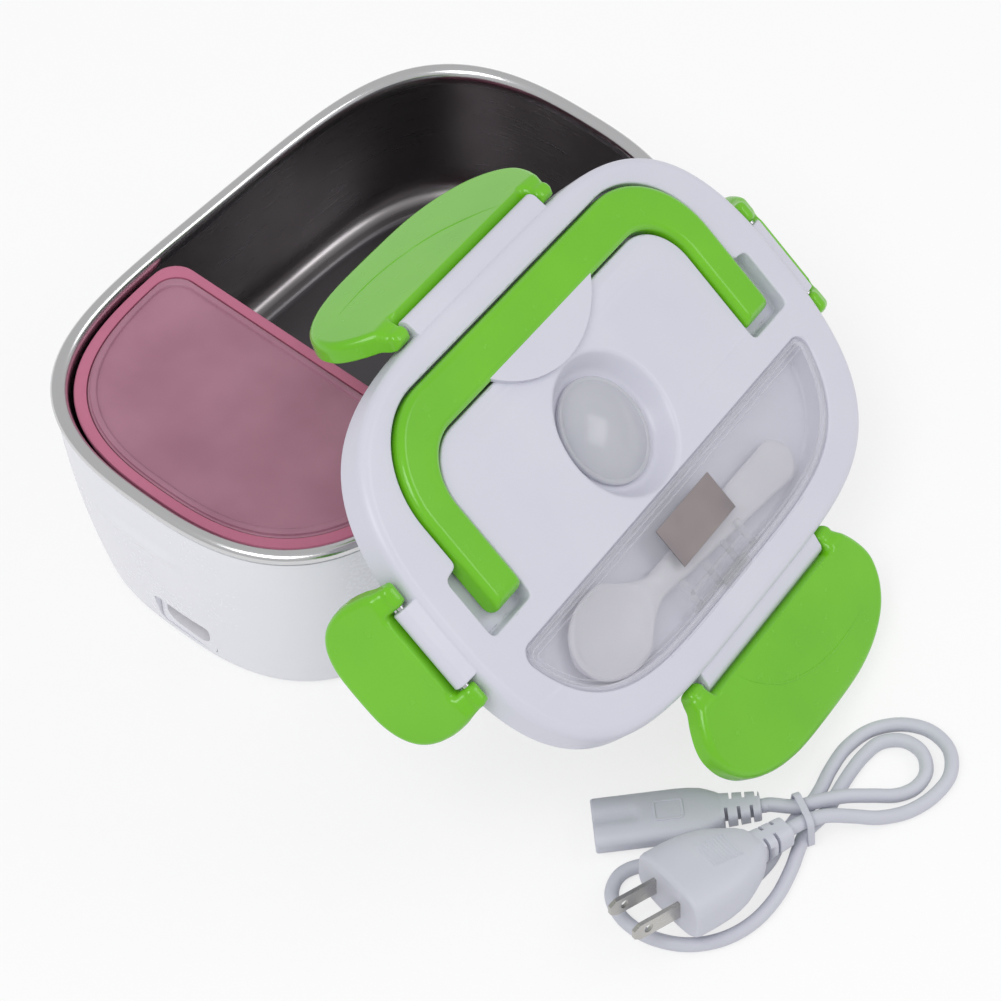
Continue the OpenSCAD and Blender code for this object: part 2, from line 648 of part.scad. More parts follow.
// The connector's tail rests a little higher, where the cord passes over its own strands
conn_tilt = 3;
conn_back = [-cos(conn_tilt) * cos(conn_turn), -cos(conn_tilt) * sin(conn_turn), sin(conn_tilt)];
conn_end = conn_at + 55 * conn_back;
plug_at = [-88, -201.8, plug_z];
plug_turn = [8, -6, 166];
plug_back = [-cos(6) * cos(166), -cos(6) * sin(166), -sin(6)];
plug_end = plug_at + 48 * plug_back;
tie_at = [-32, -212.5, 6.3];
tie_turn = -29;
cord_points = [conn_end, conn_end + 1.2 * conn_back, conn_end + 3.5 * conn_back,
    [-30.9, -209.1, 9.2], [-24.8, -213.3, 9.2], [-17, -218, 7.6], [-9.6, -223.8, 5],
    [-3.4, -229.2, 3.2], [3.2, -232, 2.8], [10.3, -230.9, 2.8], [15.5, -225.2, 2.8],
    [15.4, -217.8, 2.8], [10, -212.3, 2.8], [2.2, -211.2, 2.8], [-6.5, -212, 2.8], [-15, -213.6, 2.7],
    [-23, -215.4, 2.9], [-33.3, -215.4, 3.5], [-40, -217.5, 3.3], [-48, -220.5, 2.8],
    [-59, -223.3, 2.8], [-71, -223.5, 2.8], [-82, -220, 2.8], [-91, -212.6, 2.8], [-96.3, -202, 2.8],
    [-96.8, -191, 2.8], [-92.6, -182.4, 2.8], [-85, -179.2, 2.8], [-77.4, -182.4, 2.8],
    [-73.3, -190, 2.8], [-72, -198.6, 2.8], [-67.6, -207, 2.8], [-59.5, -212.5, 2.8], [-50, -213, 2.7],
    [-41, -210.8, 2.9], [-30.7, -209.7, 3.4], [-24, -209.7, 3.2], [-17, -208.4, 2.8], [-9, -206.2, 2.8],
    [1, -204.8, 2.8], [11.5, -206.6, 2.8], [20, -213, 2.9], [24, -222, 3.0], [22, -231.5, 3.0],
    [14.5, -237.6, 2.9], [4.5, -238.6, 2.8], [-5.5, -236, 2.8], [-14, -230.5, 3.6], [-21, -224.5, 6.8],
    [-27.4, -219.2, 9.5], [-33.4, -215.6, 10.3],
    plug_end + 3.5 * plug_back, plug_end + 1.2 * plug_back, plug_end];
cord_route = route(cord_points, 2);
// Least distance between the cord and itself, over stretches further apart than four rings
cord_gap = min([for (i = [0 : len(cord_route) - 1]) for (j = [i + 5 : 1 : len(cord_route) - 1])
    norm(cord_route[i] - cord_route[j])]) - cord_d;

module power_cord() {
    echo(cord_gap = cord_gap);
    color(soft_grey) tube(cord_route, cord_d / 2, 8);
}

// The band is wider at the bottom, where the strands cross at an angle
function tie_pts(g) = concat(arc(3.9, 4.5, 2.6 + g, 0, 90), arc(-3.9, 4.5, 2.6 + g, 90, 180),
    arc(-5.1, -2.9, 2.6 + g, 180, 270), arc(5.1, -2.9, 2.6 + g, 270, 360));

module cord_tie() {
    color([0.86, 0.87, 0.90])
    translate(tie_at) rotate([90, 0, tie_turn + 90]) linear_extrude(height = 2.4, center = true) difference() {
        polygon(tie_pts(0.65));
        polygon(tie_pts(0));
    }
}

// Strain relief cut by slots from alternate sides, running towards -X
module relief_slots(x0, w, n) {
    for (k = [0 : n - 1]) for (s = [-1, 1])
        translate([x0 - 4.2 * k - (s > 0 ? 0 : 2.1), s > 0 ? 1.6 : -1.6 - w, -10]) cube([1.2, w, 20]);
}

module cord_connector() {
    color(soft_grey)
    translate(conn_at) rotate([0, conn_tilt, conn_turn]) difference() {
        loft([cross_ring(9.6, 7.6, -55), cross_ring(11.5, 8.2, -42), cross_ring(12.5, 8.6, -41),
            cross_ring(17.5, 9.4, -36), cross_ring(19.3, 9.6, -28), cross_ring(19.3, 9.6, -16, 2.6, 0),
            cross_ring(19.3, 9.6, -14, 2.6, 0.2), cross_ring(19.3, 9.6, -0.8, 2.6, 0.2),
            cross_ring(18.3, 8.6, 0, 2.6, 0.2)]);
        relief_slots(-44, 8, 3);
        for (y = [-4.3, 4.3]) translate([-14, y, 0]) rotate([0, 90, 0]) cylinder(r = 1.85, h = 20, $fn = 24);
        // Raised frame of a bare pad on the top
        translate([-25, 0, 4.5]) linear_extrude(height = 1) difference() {
            polygon(box_pts(-5, 5, -4, 4, 1.5));
            polygon(box_pts(-4.2, 4.2, -3.2, 3.2, 1));
        }
    }
}

module connector_contacts() {
    color(brass)
    translate(conn_at) rotate([0, conn_tilt, conn_turn]) for (y = [-4.3, 4.3]) translate([-13.5, y, 0]) rotate([0, 90, 0])
        difference() {
            cylinder(r = 1.8, h = 12, $fn = 24);
            translate([0, 0, 2]) cylinder(r = 1.3, h = 12, $fn = 24);
        }
}

module plug_body() {
    color(soft_grey)
    translate(plug_at) rotate(plug_turn) difference() {
        loft([cross_ring(9.4, 8.6, -48), cross_ring(10.6, 9.4, -36), cross_ring(14, 11.6, -34.5),
            cross_ring(21, 14, -30), cross_ring(29, 17.4, -22), cross_ring(32.5, 19, -14), cross_ring(33, 19.4, -3),
            cross_ring(31.6, 18, -0.6), cross_ring(30, 16.6, 0)]);
        relief_slots(-38, 7, 2);
        for (y = [-6.35, 6.35]) translate([-14, y, 0]) cube([40, 1.6, 6.45], center = true);
        // Grip ribs on both flat sides
        for (s = [-1, 1]) for (k = [0 : 6]) translate([-16 - 1.5 * k, 0, s * 9.6]) cube([0.6, 12, 1.4], center = true);
    }
}

module plug_blades() {
    color([0.62, 0.62, 0.62])
    translate(plug_at) rotate(plug_turn) for (y = [-6.35, 6.35]) translate([0, y, 0]) rotate([90, 0, 0])
        linear_extrude(height = 1.5, center = true) difference() {
            polygon([[-32, -3.17], [15.6, -3.17], [18, -1.6], [18, 1.6], [15.6, 3.17], [-32, 3.17]]);
            translate([12.5, 0]) circle(r = 1.6, $fn = 20);
        }
}

outer_shell();
bottom_cover();
rubber_feet();
case_screws();
heating_plate();
heater_element();
heater_clamp();
thermostat();
thermal_fuse();
inlet_socket();
inlet_pins();
wiring();
steel_tray();
food_container();
container_lid();
lid_shell();
lid_liner();
lid_seal();
carry_handle();
handle_pins();
vent_plug();
spoon_cover();
foil_patch();
spoon();
front_latch();
back_latch();
left_latch();
right_latch();
latch_pins();
power_cord();
cord_tie();
cord_connector();
connector_contacts();
plug_body();
plug_blades();
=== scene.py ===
# %% [markdown]
# # An electric lunch box, dressed in Blender
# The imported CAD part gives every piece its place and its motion. This file gives the pieces
# their looks: it keeps the hidden ones and paints them, and builds smoother ones over the rest.
# All numbers here are millimetres until a mesh is made, because that is how the part was drawn.

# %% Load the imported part
import math

import bmesh
import bpy
from mathutils import Euler, Matrix, Vector
from mathutils.geometry import tessellate_polygon


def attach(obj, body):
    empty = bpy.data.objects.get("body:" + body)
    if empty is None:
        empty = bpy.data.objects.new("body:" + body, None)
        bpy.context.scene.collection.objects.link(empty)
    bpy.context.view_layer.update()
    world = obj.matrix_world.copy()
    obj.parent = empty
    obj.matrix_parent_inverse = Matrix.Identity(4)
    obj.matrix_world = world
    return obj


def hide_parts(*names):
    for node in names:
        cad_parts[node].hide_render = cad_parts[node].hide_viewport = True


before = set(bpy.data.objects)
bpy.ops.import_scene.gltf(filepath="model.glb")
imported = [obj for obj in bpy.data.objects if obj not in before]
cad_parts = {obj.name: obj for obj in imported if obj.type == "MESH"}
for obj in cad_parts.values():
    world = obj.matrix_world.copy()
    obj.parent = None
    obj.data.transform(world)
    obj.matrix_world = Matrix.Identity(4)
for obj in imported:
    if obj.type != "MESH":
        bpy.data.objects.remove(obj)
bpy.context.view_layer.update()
MM = 0.001


def turned(x=0.0, y=0.0, z=0.0):
    """A turn about the three axes, in degrees."""
    return Euler([math.radians(a) for a in (x, y, z)]).to_matrix().to_4x4()


def put(name, data):
    """A new object in the scene."""
    obj = bpy.data.objects.new(name, data)
    bpy.context.scene.collection.objects.link(obj)
    return obj


def discard(objects):
    for obj in objects:
        bpy.data.objects.remove(obj)


# %% [markdown]
# ## The camera
# The picture was taken from the left front, about 52 degrees above the table, through a long
# lens. The camera is set first, because every later choice is judged through it. Its turn about
# its own axis is small but visible, so it is kept too.

# %% Camera
AZIMUTH, ELEVATION, ROLL = math.radians(45.95), math.radians(51.86), math.radians(-3.68)
DISTANCE, SENSOR = 1.2786, 36
FOCAL_PX, PICTURE_PX = 3800, 1001
target = Vector((-14.79, -68.72, 41)) * MM
back = Vector((-math.sin(AZIMUTH) * math.cos(ELEVATION), -math.cos(AZIMUTH) * math.cos(ELEVATION),
    math.sin(ELEVATION)))
right = (-back).cross(Vector((0, 0, 1))).normalized()
up = right.cross(-back)
right, up = (math.cos(ROLL) * right + math.sin(ROLL) * up, math.cos(ROLL) * up - math.sin(ROLL) * right)
camera = put("camera", bpy.data.cameras.new("camera"))
turn = Matrix((right, up, back)).transposed().to_4x4()
camera.matrix_world = Matrix.Translation(target + back * DISTANCE) @ turn
camera.data.sensor_width = SENSOR
camera.data.lens = FOCAL_PX / PICTURE_PX * SENSOR
camera.data.clip_start, camera.data.clip_end = 0.05, 20
bpy.context.scene.camera = camera
print("camera at", [round(x, 3) for x in camera.location], "lens", round(camera.data.lens, 1))

# %% [markdown]
# ## The cord
# The mains cord lies tied in a bow between its connector and its plug, and the photograph shows
# it from end to end. A cord is a fixed length of something flexible, so it is one curve with one
# thickness. The route is the same as in the part's source: a smooth line through listed points
# that passes over itself in low humps.

# %% Route of the cord
def spline_point(points, i, t):
    a, b, c, d = (points[max(0, min(len(points) - 1, i + k))] for k in (-1, 0, 1, 2))
    return 0.5 * (2 * b + (c - a) * t + (2 * a - 5 * b + 4 * c - d) * t * t
        + (3 * b - a - 3 * c + d) * t ** 3)


def smooth_route(points, steps):
    inner = [spline_point(points, i, j / steps) for i in range(len(points) - 1) for j in range(steps)]
    return inner + [points[-1]]


CORD_D, CONN_L, PLUG_L = 4.8, 55, 48
CONN = Matrix.Translation((-77, -161.3, 5)) @ turned(0, 3, 136)
PLUG = Matrix.Translation((-88, -201.8, 16.5)) @ turned(8, -6, 166)
CORD_POINTS = [CONN @ Vector((-CONN_L - d, 0, 0)) for d in (0, 1.2, 3.5)] + [Vector(p) for p in (
    (-30.9, -209.1, 9.2), (-24.8, -213.3, 9.2), (-17, -218, 7.6), (-9.6, -223.8, 5), (-3.4, -229.2, 3.2),
    (3.2, -232, 2.8), (10.3, -230.9, 2.8), (15.5, -225.2, 2.8), (15.4, -217.8, 2.8), (10, -212.3, 2.8),
    (2.2, -211.2, 2.8), (-6.5, -212, 2.8), (-15, -213.6, 2.7), (-23, -215.4, 2.9), (-33.3, -215.4, 3.5),
    (-40, -217.5, 3.3), (-48, -220.5, 2.8), (-59, -223.3, 2.8), (-71, -223.5, 2.8), (-82, -220, 2.8),
    (-91, -212.6, 2.8), (-96.3, -202, 2.8), (-96.8, -191, 2.8), (-92.6, -182.4, 2.8), (-85, -179.2, 2.8),
    (-77.4, -182.4, 2.8), (-73.3, -190, 2.8), (-72, -198.6, 2.8), (-67.6, -207, 2.8), (-59.5, -212.5, 2.8),
    (-50, -213, 2.7), (-41, -210.8, 2.9), (-30.7, -209.7, 3.4), (-24, -209.7, 3.2), (-17, -208.4, 2.8),
    (-9, -206.2, 2.8), (1, -204.8, 2.8), (11.5, -206.6, 2.8), (20, -213, 2.9), (24, -222, 3),
    (22, -231.5, 3), (14.5, -237.6, 2.9), (4.5, -238.6, 2.8), (-5.5, -236, 2.8), (-14, -230.5, 3.6),
    (-21, -224.5, 6.8), (-27.4, -219.2, 9.5), (-33.4, -215.6, 10.3))]
CORD_POINTS += [PLUG @ Vector((-PLUG_L - d, 0, 0)) for d in (3.5, 1.2, 0)]
cord_line = smooth_route(CORD_POINTS, 8)
cord_length = sum((b - a).length for a, b in zip(cord_line, cord_line[1:])) * MM

line = bpy.data.curves.new("mains_cord", "CURVE")
line.dimensions = "3D"
spline = line.splines.new("POLY")
spline.points.add(len(cord_line) - 1)
for point, place in zip(spline.points, cord_line):
    point.co = (*(place * MM), 1)
spline.use_smooth = True
line.bevel_depth = CORD_D / 2 * MM
line.bevel_resolution = 4
line.use_fill_caps = True
mains_cord = put("mains_cord", line)
print("cord length", round(cord_length, 3), "m")

# %% [markdown]
# ## Writing shader maths as expressions
# A material is a graph of nodes. Wiring maths nodes by hand hides the idea, so one small class
# wraps an output socket: adding or multiplying two of them adds the node that does it.

# %% Wire and Finish
class Wire:
    def __init__(self, finish, socket):
        self.finish, self.socket = finish, socket

    def _math(self, operation, other):
        return self.finish.node("ShaderNodeMath", {"operation": operation}, {0: self, 1: other})

    def __add__(self, other):
        return self._math("ADD", other)

    def __sub__(self, other):
        return self._math("SUBTRACT", other)

    def __mul__(self, other):
        return self._math("MULTIPLY", other)

    def __pow__(self, other):
        return self._math("POWER", other)

    __radd__, __rmul__ = __add__, __mul__

    def ramp(self, low, high):
        """0 below low, 1 above high, a straight line between."""
        return self.finish.node("ShaderNodeMapRange", {"clamp": True},
            {"Value": self, "From Min": low, "From Max": high})

    def top(self, other):
        """The larger of the two."""
        return self._math("MAXIMUM", other)


class Finish:
    """One material. Fixed values go straight onto the shader's sockets."""

    def __init__(self, name, **fixed):
        self.material = bpy.data.materials.new(name)
        self.material.use_nodes = True
        self.tree = self.material.node_tree
        self.shader = self.tree.nodes["Principled BSDF"]
        for socket, value in fixed.items():
            self.shader.inputs[socket.replace("_", " ")].default_value = value
        self.place = self.node("ShaderNodeTexCoord", {}, {}, "Object")

    def node(self, kind, settings, values, output=0):
        n = self.tree.nodes.new(kind)
        for key, value in settings.items():
            setattr(n, key, value)
        for key, value in values.items():
            if isinstance(value, Wire):
                self.tree.links.new(value.socket, n.inputs[key])
            else:
                n.inputs[key].default_value = value
        return Wire(self, n.outputs[output])

    def axis(self, index):
        return self.node("ShaderNodeSeparateXYZ", {}, {0: self.place}, index)

    def noise(self, size_mm, detail=2.0, stretch=(1, 1, 1), offset=(0, 0, 0)):
        """Soft noise whose blobs are about size_mm wide, drawn out along an axis by stretch."""
        scale = [1 / (size_mm * MM * s) for s in stretch]
        spot = self.node("ShaderNodeMapping", {},
            {"Vector": self.place, "Scale": scale, "Location": offset})
        return self.node("ShaderNodeTexNoise", {}, {"Vector": spot, "Scale": 1.0, "Detail": detail})

    def mix(self, mask, a, b):
        colour = lambda c: c if isinstance(c, Wire) else (*c, 1)
        return self.node("ShaderNodeMix", {"data_type": "RGBA"}, {0: mask, 6: colour(a), 7: colour(b)}, 2)

    def bump(self, height, depth_mm):
        return self.node("ShaderNodeBump", {},
            {"Height": height, "Distance": depth_mm * MM, "Strength": 1.0})

    def set(self, **links):
        for socket, value in links.items():
            self.tree.links.new(value.socket, self.shader.inputs[socket.replace("_", " ")])
        return self.material


# %% [markdown]
# ## Moulded plastics
# The shells, latches and mouldings are injection-moulded. Such a surface is never one flat
# colour: it has a faint orange-peel bump, slow changes of gloss where the melt cooled, and a
# little dust. All of it is noise on Object coordinates, so it stays put when pieces move.

# %% Plastic finishes
def plastic(name, colour, shade, roughness=0.3, peel=0.012, peel_size=1.6, speck=0.05,
    dust_gloss=0.1, **fixed):
    f = Finish(name, IOR=1.46, **fixed)
    cloud = f.noise(38, 3.0)
    grain = f.noise(peel_size, 2.0, offset=(3, 1, 2))
    dust = f.noise(5.5, 4.0, offset=(7, 2, 5)).ramp(0.6, 0.85)
    return f.set(Base_Color=f.mix(cloud.ramp(0.35, 0.7) * 0.6 + dust * speck, colour, shade),
        Roughness=roughness + cloud * 0.05 + dust * dust_gloss + grain * 0.04,
        Normal=f.bump(grain, peel))


WHITE = plastic("white_shell_plastic", (0.84, 0.845, 0.90), (0.82, 0.825, 0.885), 0.22, peel=0.006,
    speck=0.0, dust_gloss=0.0)
LID_WHITE = plastic("lid_plastic", (0.68, 0.68, 0.77), (0.64, 0.64, 0.74), 0.3, peel=0.02, peel_size=1.1)
LINER = plastic("liner_plastic", (0.66, 0.66, 0.72), (0.60, 0.60, 0.68), 0.38)
GREEN = plastic("green_latch_plastic", (0.17, 0.56, 0.012), (0.135, 0.48, 0.010), 0.2, peel=0.014,
    peel_size=2.2,
    speck=0.0, Coat_Weight=0.2)
PINK = plastic("container_plastic", (0.55, 0.17, 0.27), (0.48, 0.14, 0.23), 0.34)
SPOON = plastic("spoon_plastic", (0.66, 0.65, 0.70), (0.61, 0.60, 0.66), 0.26)
CORD = plastic("cord_plastic", (0.60, 0.61, 0.68), (0.54, 0.55, 0.63), 0.42, peel=0.03, peel_size=0.9)
MOULDING = plastic("plug_plastic", (0.62, 0.63, 0.70), (0.56, 0.57, 0.65), 0.4, peel=0.03, peel_size=0.8)
RUBBER = plastic("foot_rubber", (0.16, 0.16, 0.17), (0.11, 0.11, 0.12), 0.6, peel=0.05, peel_size=0.7)
SEAL = plastic("seal_silicone", (0.72, 0.72, 0.74), (0.66, 0.66, 0.69), 0.55, peel=0.02)
SLEEVE = plastic("wire_sleeve", (0.68, 0.66, 0.56), (0.58, 0.56, 0.48), 0.6, peel=0.06, peel_size=0.6)
DARK_CASE = plastic("thermostat_case", (0.03, 0.03, 0.032), (0.022, 0.022, 0.024), 0.45)
CERAMIC = plastic("heater_ceramic", (0.28, 0.15, 0.09), (0.2, 0.11, 0.07), 0.75, peel=0.09, peel_size=0.8)
print("plastics made:", sum("plastic" in m.name for m in bpy.data.materials))

# %% [markdown]
# ## Metals
# Drawn steel is brushed along its wall, so its gloss changes quickly across the brushing and
# slowly along it. Stretching the noise does that. Cast and plain metals get finer, even noise.

# %% Metal finishes
def metal(name, colour, shade, roughness, stretch=(1, 1, 1), grain_mm=0.8, scratch=0.01, spread=0.12):
    f = Finish(name, Metallic=1.0)
    lines = f.noise(grain_mm, 3.0, stretch)
    cloud = f.noise(26, 2.0, offset=(4, 4, 1))
    return f.set(Base_Color=f.mix(cloud.ramp(0.3, 0.75), colour, shade),
        Roughness=roughness + lines * spread + cloud * 0.06,
        Normal=f.bump(lines, scratch))


BRIGHT_STEEL = metal("bright_steel", (0.62, 0.62, 0.64), (0.52, 0.52, 0.54), 0.16)
SCREW_STEEL = metal("screw_steel", (0.56, 0.56, 0.58), (0.44, 0.44, 0.46), 0.26, grain_mm=0.5)
BLADE_STEEL = metal("blade_steel", (0.56, 0.55, 0.53), (0.40, 0.39, 0.38), 0.2, stretch=(6, 6, 1),
    grain_mm=0.6)
PLATE = metal("cast_aluminium", (0.66, 0.67, 0.69), (0.55, 0.56, 0.58), 0.42, scratch=0.06)
BRASS = metal("brass", (0.72, 0.50, 0.20), (0.60, 0.40, 0.16), 0.25)
FOIL = metal("bare_foil", (0.38, 0.33, 0.33), (0.28, 0.25, 0.26), 0.3, stretch=(8, 1, 1), grain_mm=1.2,
    scratch=0.03)

steel = Finish("drawn_steel", Metallic=1.0)
height = steel.axis(2)
brushed = steel.noise(0.7, 3.0, (30, 30, 1))
cloud = steel.noise(34, 2.0, offset=(1, 5, 2))
# The tray is one steel sheet painted in bands by height. The rolled rim is painted lighter, a painted
# highlight; it is also glossier.
rim = height.ramp(0.0765, 0.0775)
# The wall is painted dark grey, a painted dark reflection, with tone that changes at random.
inner = steel.mix(cloud.ramp(0.3, 0.7), (0.42, 0.40, 0.41), (0.31, 0.29, 0.30))
# The floor and its lowest bend are painted near-black, a painted dark reflection.
inner = steel.mix(height.ramp(0.0256, 0.0272), (0.10, 0.095, 0.10), inner)
TRAY_STEEL = steel.set(Base_Color=steel.mix(rim, inner, (0.66, 0.66, 0.67)),
    Roughness=0.2 + brushed * 0.14 + cloud * 0.05 - rim * 0.1,
    Normal=steel.bump(brushed, 0.012))
print("metals made:", sum("steel" in m.name for m in bpy.data.materials))

# %% [markdown]
# ## See-through plastics
# Three pieces let light through: the milky lid of the food container, the clear cover of the
# spoon bay and the frosted plug of the vent. Real transmission is slow and noisy for such thin
# walls, so the cover uses alpha, with the gloss of its surface left on top.

# %% See-through finishes
def see_through(name, colour, shade, alpha, edge_alpha, roughness, **fixed):
    f = Finish(name, IOR=1.46, **fixed)
    facing = f.node("ShaderNodeLayerWeight", {}, {"Blend": 0.35}, 1)
    cloud = f.noise(24, 2.0)
    ripple = f.noise(9, 1.0, offset=(2, 6, 1))
    return f.set(Base_Color=f.mix(cloud.ramp(0.3, 0.7), colour, shade),
        Alpha=alpha + (edge_alpha - alpha) * (facing ** 2.0) + cloud * 0.03,
        Roughness=roughness + cloud * 0.06, Normal=f.bump(ripple, 0.02))


CLEAR = see_through("clear_cover", (0.80, 0.80, 0.86), (0.74, 0.74, 0.80), 0.13, 0.6, 0.08, Coat_Weight=0.5)
FROSTED = see_through("frosted_vent", (0.66, 0.67, 0.72), (0.58, 0.59, 0.65), 0.72, 0.95, 0.14,
    Coat_Weight=0.3)
MAUVE = see_through("milky_lid", (0.52, 0.25, 0.34), (0.44, 0.20, 0.28), 0.78, 0.97, 0.26)
print("materials in all:", len(bpy.data.materials))

# %% [markdown]
# ## Building by outlines
# Nearly every shell here is a stack of outlines: a wall is a skin between rings, and a flat face
# is one outline with holes. The small class below collects both, and a helper makes the mesh:
# it merges doubles, turns the faces outwards and weights the normals by face size, so that flat
# faces stay flat right up to a rounded edge.

# %% Skin and piece
class Skin:
    def __init__(self):
        self.points, self.faces = [], []

    def ring(self, outline):
        start = len(self.points)
        self.points += [Vector(p) for p in outline]
        return list(range(start, len(self.points)))

    def strip(self, a, b):
        n = len(a)
        for i in range(n):
            self.faces.append((a[i], a[(i + 1) % n], b[(i + 1) % n], b[i]))

    def wall(self, outlines, loop=False):
        rings = [self.ring(o) for o in outlines]
        for a, b in zip(rings, rings[1:] + ([rings[0]] if loop else [])):
            self.strip(a, b)
        return rings

    def fill(self, outer, holes=()):
        loops = [outer, *holes]
        order = [i for loop in loops for i in loop]
        for tri in tessellate_polygon([[self.points[i] for i in loop] for loop in loops]):
            self.faces.append(tuple(order[i] for i in tri))


def closed(outlines):
    """A skin through outlines, with a flat face on the first and on the last."""
    s = Skin()
    rings = s.wall(outlines)
    s.fill(rings[0])
    s.fill(rings[-1])
    return s


def hoop(outlines):
    """A skin through outlines, the last of which meets the first."""
    s = Skin()
    s.wall(outlines, loop=True)
    return s


LID = Matrix.Translation((3.3, -109.7, 90.85)) @ turned(38.8, 11.3, 10.6)


def link(name, mesh, material):
    obj = put(name, mesh)
    mesh.materials.clear()
    mesh.materials.append(material)
    return obj


def bake_modifiers(obj):
    graph = bpy.context.evaluated_depsgraph_get()
    mesh = bpy.data.meshes.new_from_object(obj.evaluated_get(graph), preserve_all_data_layers=True,
        depsgraph=graph)
    obj.modifiers.clear()
    obj.data = mesh
    return obj


def smooth(obj, sharp):
    obj.data.shade_smooth()
    obj.data.set_sharp_from_angle(angle=math.radians(sharp))


def hand_over(obj, body, nodes):
    """Sets a piece on its body and hides the solids that it stands for."""
    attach(obj, body)
    if nodes:
        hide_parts(*nodes)


def piece(name, skins, material, body, nodes=(), at=Matrix(), sharp=38, cutters=()):
    """One finished piece from one or several closed skins."""
    b = bmesh.new()
    for skin in skins if isinstance(skins, (list, tuple)) else [skins]:
        made = [b.verts.new((at @ p) * MM) for p in skin.points]
        for face in skin.faces:
            if len(set(face)) > 2:
                try:
                    b.faces.new([made[i] for i in face])
                except ValueError:
                    pass
    bmesh.ops.remove_doubles(b, verts=b.verts, dist=2e-6)
    bmesh.ops.dissolve_degenerate(b, dist=1e-7, edges=b.edges)
    bmesh.ops.recalc_face_normals(b, faces=b.faces)
    mesh = bpy.data.meshes.new(name)
    b.to_mesh(mesh)
    b.free()
    obj = link(name, mesh, material)
    for cutter in cutters:
        m = obj.modifiers.new("cut", "BOOLEAN")
        m.object, m.operation, m.solver = cutter, "DIFFERENCE", "EXACT"
    if cutters:
        bake_modifiers(obj)
    smooth(obj, sharp)
    weighted = obj.modifiers.new("weighted", "WEIGHTED_NORMAL")
    weighted.keep_sharp, weighted.weight = True, 80
    bake_modifiers(obj)
    obj.data.materials.clear()
    obj.data.materials.append(material)
    hand_over(obj, body, nodes)
    print(name, len(obj.data.polygons), "faces")
    return obj


def paint(material, *nodes):
    for n in nodes:
        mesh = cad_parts[n].data
        mesh.materials.clear()
        mesh.materials.append(material)


# %% [markdown]
# ## Outlines
# Rim, wall and lid share one plan shape, a superellipse that is squarer along its length. Points
# that are even in the formula's angle bunch up at the corners, so the outline is walked once and
# cut into equal steps.

# %% Outline helpers
def spread(path, n):
    """An open path cut into n equal steps."""
    reach = [0.0]
    for a, b in zip(path, path[1:]):
        reach.append(reach[-1] + math.dist(a, b))
    out, k = [], 0
    for i in range(n + 1):
        want = reach[-1] * i / n
        while k < len(path) - 2 and reach[k + 1] < want:
            k += 1
        t = (want - reach[k]) / max(1e-12, reach[k + 1] - reach[k])
        out.append(tuple(p + (q - p) * t for p, q in zip(path[k], path[k + 1])))
    return out


def even(points, n):
    """The closed outline through points, cut into n equal steps."""
    return spread(points + [points[0]], n)[:-1]


ALONG, ACROSS, FINE = 4.43, 2.61, 1600


def plan(length, width, n=224):
    power = lambda value, e: math.copysign(abs(value) ** e, value)
    turns = [2 * math.pi * i / 1440 for i in range(1440)]
    return even([(length / 2 * power(math.cos(t), 2 / ALONG), width / 2 * power(math.sin(t), 2 / ACROSS))
        for t in turns], n)


def lift(outline, z):
    return [(x, y, z) for x, y in outline]


def arc(cx, cy, r, a0, a1, n=8):
    turns = [math.radians(a0 + (a1 - a0) * i / n) for i in range(n + 1)]
    return [(cx + r * math.cos(t), cy + r * math.sin(t)) for t in turns]


def rounded_box(x0, x1, y0, y1, r, n=8):
    return (arc(x1 - r, y1 - r, r, 0, 90, n) + arc(x0 + r, y1 - r, r, 90, 180, n)
        + arc(x0 + r, y0 + r, r, 180, 270, n) + arc(x1 - r, y0 + r, r, 270, 360, n))


def grow(outline, by):
    """The outline pushed outwards by a distance, each point along the mean of its two sides."""
    area = sum(a[0] * b[1] - b[0] * a[1] for a, b in zip(outline, outline[1:] + outline[:1]))
    turn, out, n = math.copysign(1, area), [], len(outline)
    for i, p in enumerate(outline):
        a, c = Vector(outline[i - 1]), Vector(outline[(i + 1) % n])
        u, w = (Vector(p) - a), (c - Vector(p))
        u, w = (u if u.length > 1e-9 else w).normalized(), (w if w.length > 1e-9 else u).normalized()
        side = Vector((u.y + w.y, -u.x - w.x)) * turn
        scale = by / max(0.35, side.length / 2) if side.length > 1e-9 else 0
        side = side.normalized() if side.length > 1e-9 else side
        out.append((p[0] + side.x * scale, p[1] + side.y * scale))
    return out


def cut_off(outline, cut, r, sides=70, corner=9):
    """The part of an outline below a straight line, with both corners rounded by a tangent arc."""
    half = sorted((p for p in outline if p[0] >= 0), key=lambda p: math.atan2(p[1], p[0]))
    kept = [(0.0, half[0][1])]
    for a, b, c in zip(half, half[1:], half[2:]):
        run = Vector((c[0] - a[0], c[1] - a[1])).normalized()
        centre = Vector(b) - r * Vector((run.y, -run.x))
        if centre.y >= cut - r:
            break
        kept.append(b)
    start = math.degrees(math.atan2(-run.x, run.y))
    right = spread(kept, sides) + arc(centre.x, cut - r, r, start, 90, corner)[1:]
    return right + [(-x, y) for x, y in reversed(right[1:])]


BASE_L, BASE_W, BASE_H, TAPER = 226, 149, 82, 7.2


def base_ring(inset, z):
    return lift(plan(BASE_L - 2 * inset, BASE_W - 2 * inset), z)


def draw_in(z):
    return 0.9 + TAPER * (1 - z / BASE_H) ** 2.1


print("rim outline:", len(base_ring(0, 0)), "points")

# %% [markdown]
# ## The white base
# The base is a moulded shell that draws in towards the table. Soft ledges swell out of its wall
# where the latches catch, and the left end has the mouth of the mains inlet. The ledges are part
# of the wall, so they are made by pushing the wall's own points out, and the mouth is cut.

# %% Wall of the base
LEDGE_Z, LEDGE_HALF, LEDGE_OUT, BAND = 56, 5.4, 0.65, 14


